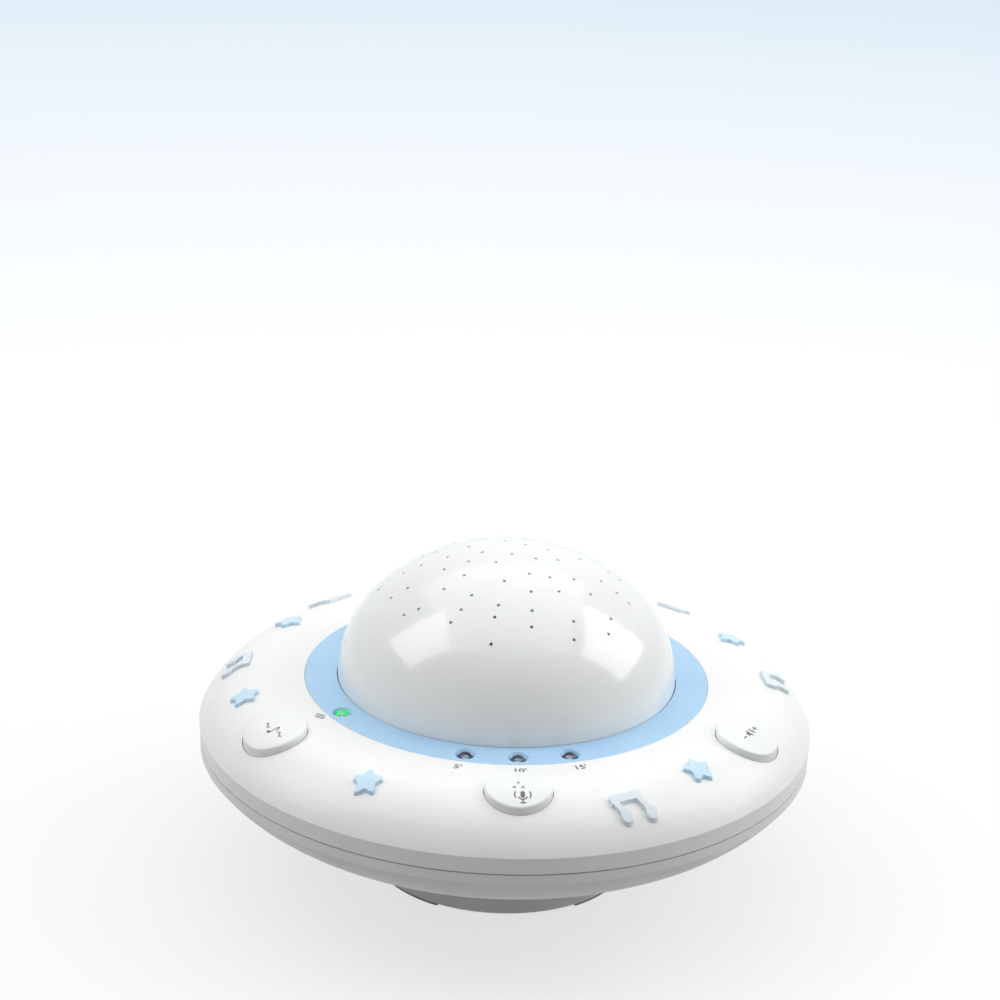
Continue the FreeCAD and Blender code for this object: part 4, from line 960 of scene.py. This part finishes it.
@dataclass(frozen=True)
class Viewpoint:
    """The camera, set where the object is seen from."""

    distance: float = 1.0
    elevation: float = 24.41
    azimuth: float = -4.2
    yaw: float = -0.27
    pitch: float = -20.96
    roll: float = 1.98
    focal_share: float = 2.9072

    def build(self) -> bpy.types.Object:
        """Makes the scene's camera.

        Returns:
            The camera.
        """
        aim = Vector((0, 0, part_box("upper_housing")[1].z))
        rise = math.radians(self.elevation)
        yaw, pitch, roll = (math.radians(a) for a in (self.yaw, self.pitch, self.roll))
        place = self.distance * Vector((0, -math.cos(rise), math.sin(rise)))
        ahead = Vector((math.sin(yaw) * math.cos(pitch), math.cos(yaw) * math.cos(pitch), math.sin(pitch)))
        right = ahead.cross(Vector((0, 0, 1))).normalized()
        up = right.cross(ahead)
        leaned = Matrix((math.cos(roll) * right + math.sin(roll) * up,
                         math.cos(roll) * up - math.sin(roll) * right, -ahead)).transposed()
        swing = Matrix.Rotation(math.radians(self.azimuth), 3, "Z")
        data = bpy.data.cameras.new("view")
        data.sensor_width = 36.0
        data.lens = self.focal_share * data.sensor_width
        data.clip_start, data.clip_end = 0.05, 20.0
        camera = bpy.data.objects.new("view", data)
        bpy.context.scene.collection.objects.link(camera)
        camera.matrix_world = Matrix.Translation(aim + swing @ place) @ (swing @ leaned).to_4x4()
        bpy.context.scene.camera = camera
        return camera


@dataclass(frozen=True)
class Softbox:
    """A square soft light that faces the object."""

    name: str
    place: tuple[float, float, float]
    width: float
    power: float
    height: float = 0.0

    def hang(self) -> bpy.types.Object:
        """Hangs the light in the scene.

        Returns:
            The light.
        """
        data = bpy.data.lights.new(self.name, "AREA")
        data.shape = "RECTANGLE"
        data.size = self.width
        data.size_y = self.height or self.width
        data.energy = self.power
        lamp = bpy.data.objects.new(self.name, data)
        lamp.location = self.place
        lamp.rotation_mode = "QUATERNION"
        lamp.rotation_quaternion = (-Vector(self.place)).to_track_quat("-Z", "Y")
        bpy.context.scene.collection.objects.link(lamp)
        return lamp


@dataclass
class Studio:
    """The pale floor, the white surround and the soft lights."""

    floor_radius: float = 4.0
    tint_from: float = 0.6
    tint_to: float = 2.2
    floor_near: tuple[int, int, int] = (240, 241, 242)
    floor_far: tuple[int, int, int] = (40, 41, 42)
    surround: float = 0.42
    near_glow: float = 0.68
    shade_from: float = 0.22
    shade_to: float = 0.75
    far_colour: tuple[int, int, int] = (216, 231, 242)
    lights: tuple[Softbox, ...] = (
        Softbox("top_light", (0.0, 0.5, 1.65), 2.1, 12.0),
        Softbox("right_light", (1.35, 0.2, 0.95), 1.1, 11.5),
        Softbox("left_window", (-1.1, 0.1, 1.1), 0.8, 6.0, 0.9),
    )

    def build(self) -> None:
        """Makes the floor, the world and the lights."""
        self.floor()
        self.world()
        for light in self.lights:
            light.hang()

    def floor(self) -> bpy.types.Object:
        """Makes the floor, which keeps the shadow close by and goes white and pale blue far off.

        Returns:
            The floor.
        """
        grid = bmesh.new()
        bmesh.ops.create_circle(grid, cap_ends=True, segments=96, radius=self.floor_radius)
        bmesh.ops.recalc_face_normals(grid, faces=grid.faces[:])
        mesh = bpy.data.meshes.new("floor")
        grid.to_mesh(mesh)
        grid.free()
        if mesh.polygons[0].normal.z < 0:
            mesh.flip_normals()
        floor = bpy.data.objects.new("floor", mesh)
        bpy.context.scene.collection.objects.link(floor)
        shader = Shader("floor_paint")
        away = shader.node("VectorMath", {"operation": "LENGTH"})
        shader.feed(away.inputs[0], shader.place())
        far = shader.node("MapRange", Value=away.outputs["Value"], From_Min=self.shade_from,
                          From_Max=self.shade_to, To_Min=self.near_glow, To_Max=1.0).outputs[0]
        tint = shader.node("MapRange", Value=away.outputs["Value"], From_Min=self.shade_to * self.tint_from,
                           From_Max=self.shade_to * self.tint_to).outputs[0]
        glow = shader.node("Math", {"operation": "MULTIPLY"})
        shader.feed(glow.inputs[0], far)
        shader.feed(glow.inputs[1], seen_rays(shader.tree))
        shader.set(
            Base_Color=shader.blend(far, linear(self.floor_near), linear(self.floor_far)),
            Roughness=0.9,
            Specular_IOR_Level=0.1,
            Emission_Color=shader.blend(tint, (1, 1, 1, 1), linear(self.far_colour)),
            Emission_Strength=glow.outputs[0],
        )
        under = shader.node("NewGeometry").outputs["Backfacing"]
        clear = shader.node("BsdfTransparent").outputs[0]
        sides = shader.node("MixShader")
        for socket, value in zip(sides.inputs, (under, shader.surface.outputs[0], clear)):
            shader.tree.links.new(value, socket)
        shader.tree.links.new(sides.outputs[0], shader.tree.nodes["Material Output"].inputs["Surface"])
        mesh.materials.append(shader.material)
        return floor

    def world(self) -> None:
        """Makes a surround that is white to the eye and in reflections, and lights the object softly."""
        world = bpy.data.worlds.new("surround")
        bpy.context.scene.world = world
        world.use_nodes = True
        tree = world.node_tree
        shade = tree.nodes["Background"]
        level = tree.nodes.new("ShaderNodeMapRange")
        level.inputs["To Min"].default_value = self.surround
        level.inputs["To Max"].default_value = 1.0
        tree.links.new(seen_rays(tree), level.inputs["Value"])
        shade.inputs["Color"].default_value = (1, 1, 1, 1)
        tree.links.new(level.outputs[0], shade.inputs["Strength"])


def main() -> None:
    """Builds the scene in order and reports each part of it."""
    logging.basicConfig(level=logging.INFO, format="%(name)s: %(message)s")
    bpy.context.scene.view_settings.view_transform = "Standard"
    Viewpoint().build()
    LOG.info("camera set")
    Studio().build()
    LOG.info("floor and lights set")
    LOG.info("%d solids dressed", Solids().dress())
    LOG.info("%d lamp insides fitted", len(LampInsides().build()))
    LOG.info("%d raised signs and bars moulded", len(Underside().build()))
    LOG.info("%d captions printed", len(Captions().build()))


if __name__ == "__main__":
    main()
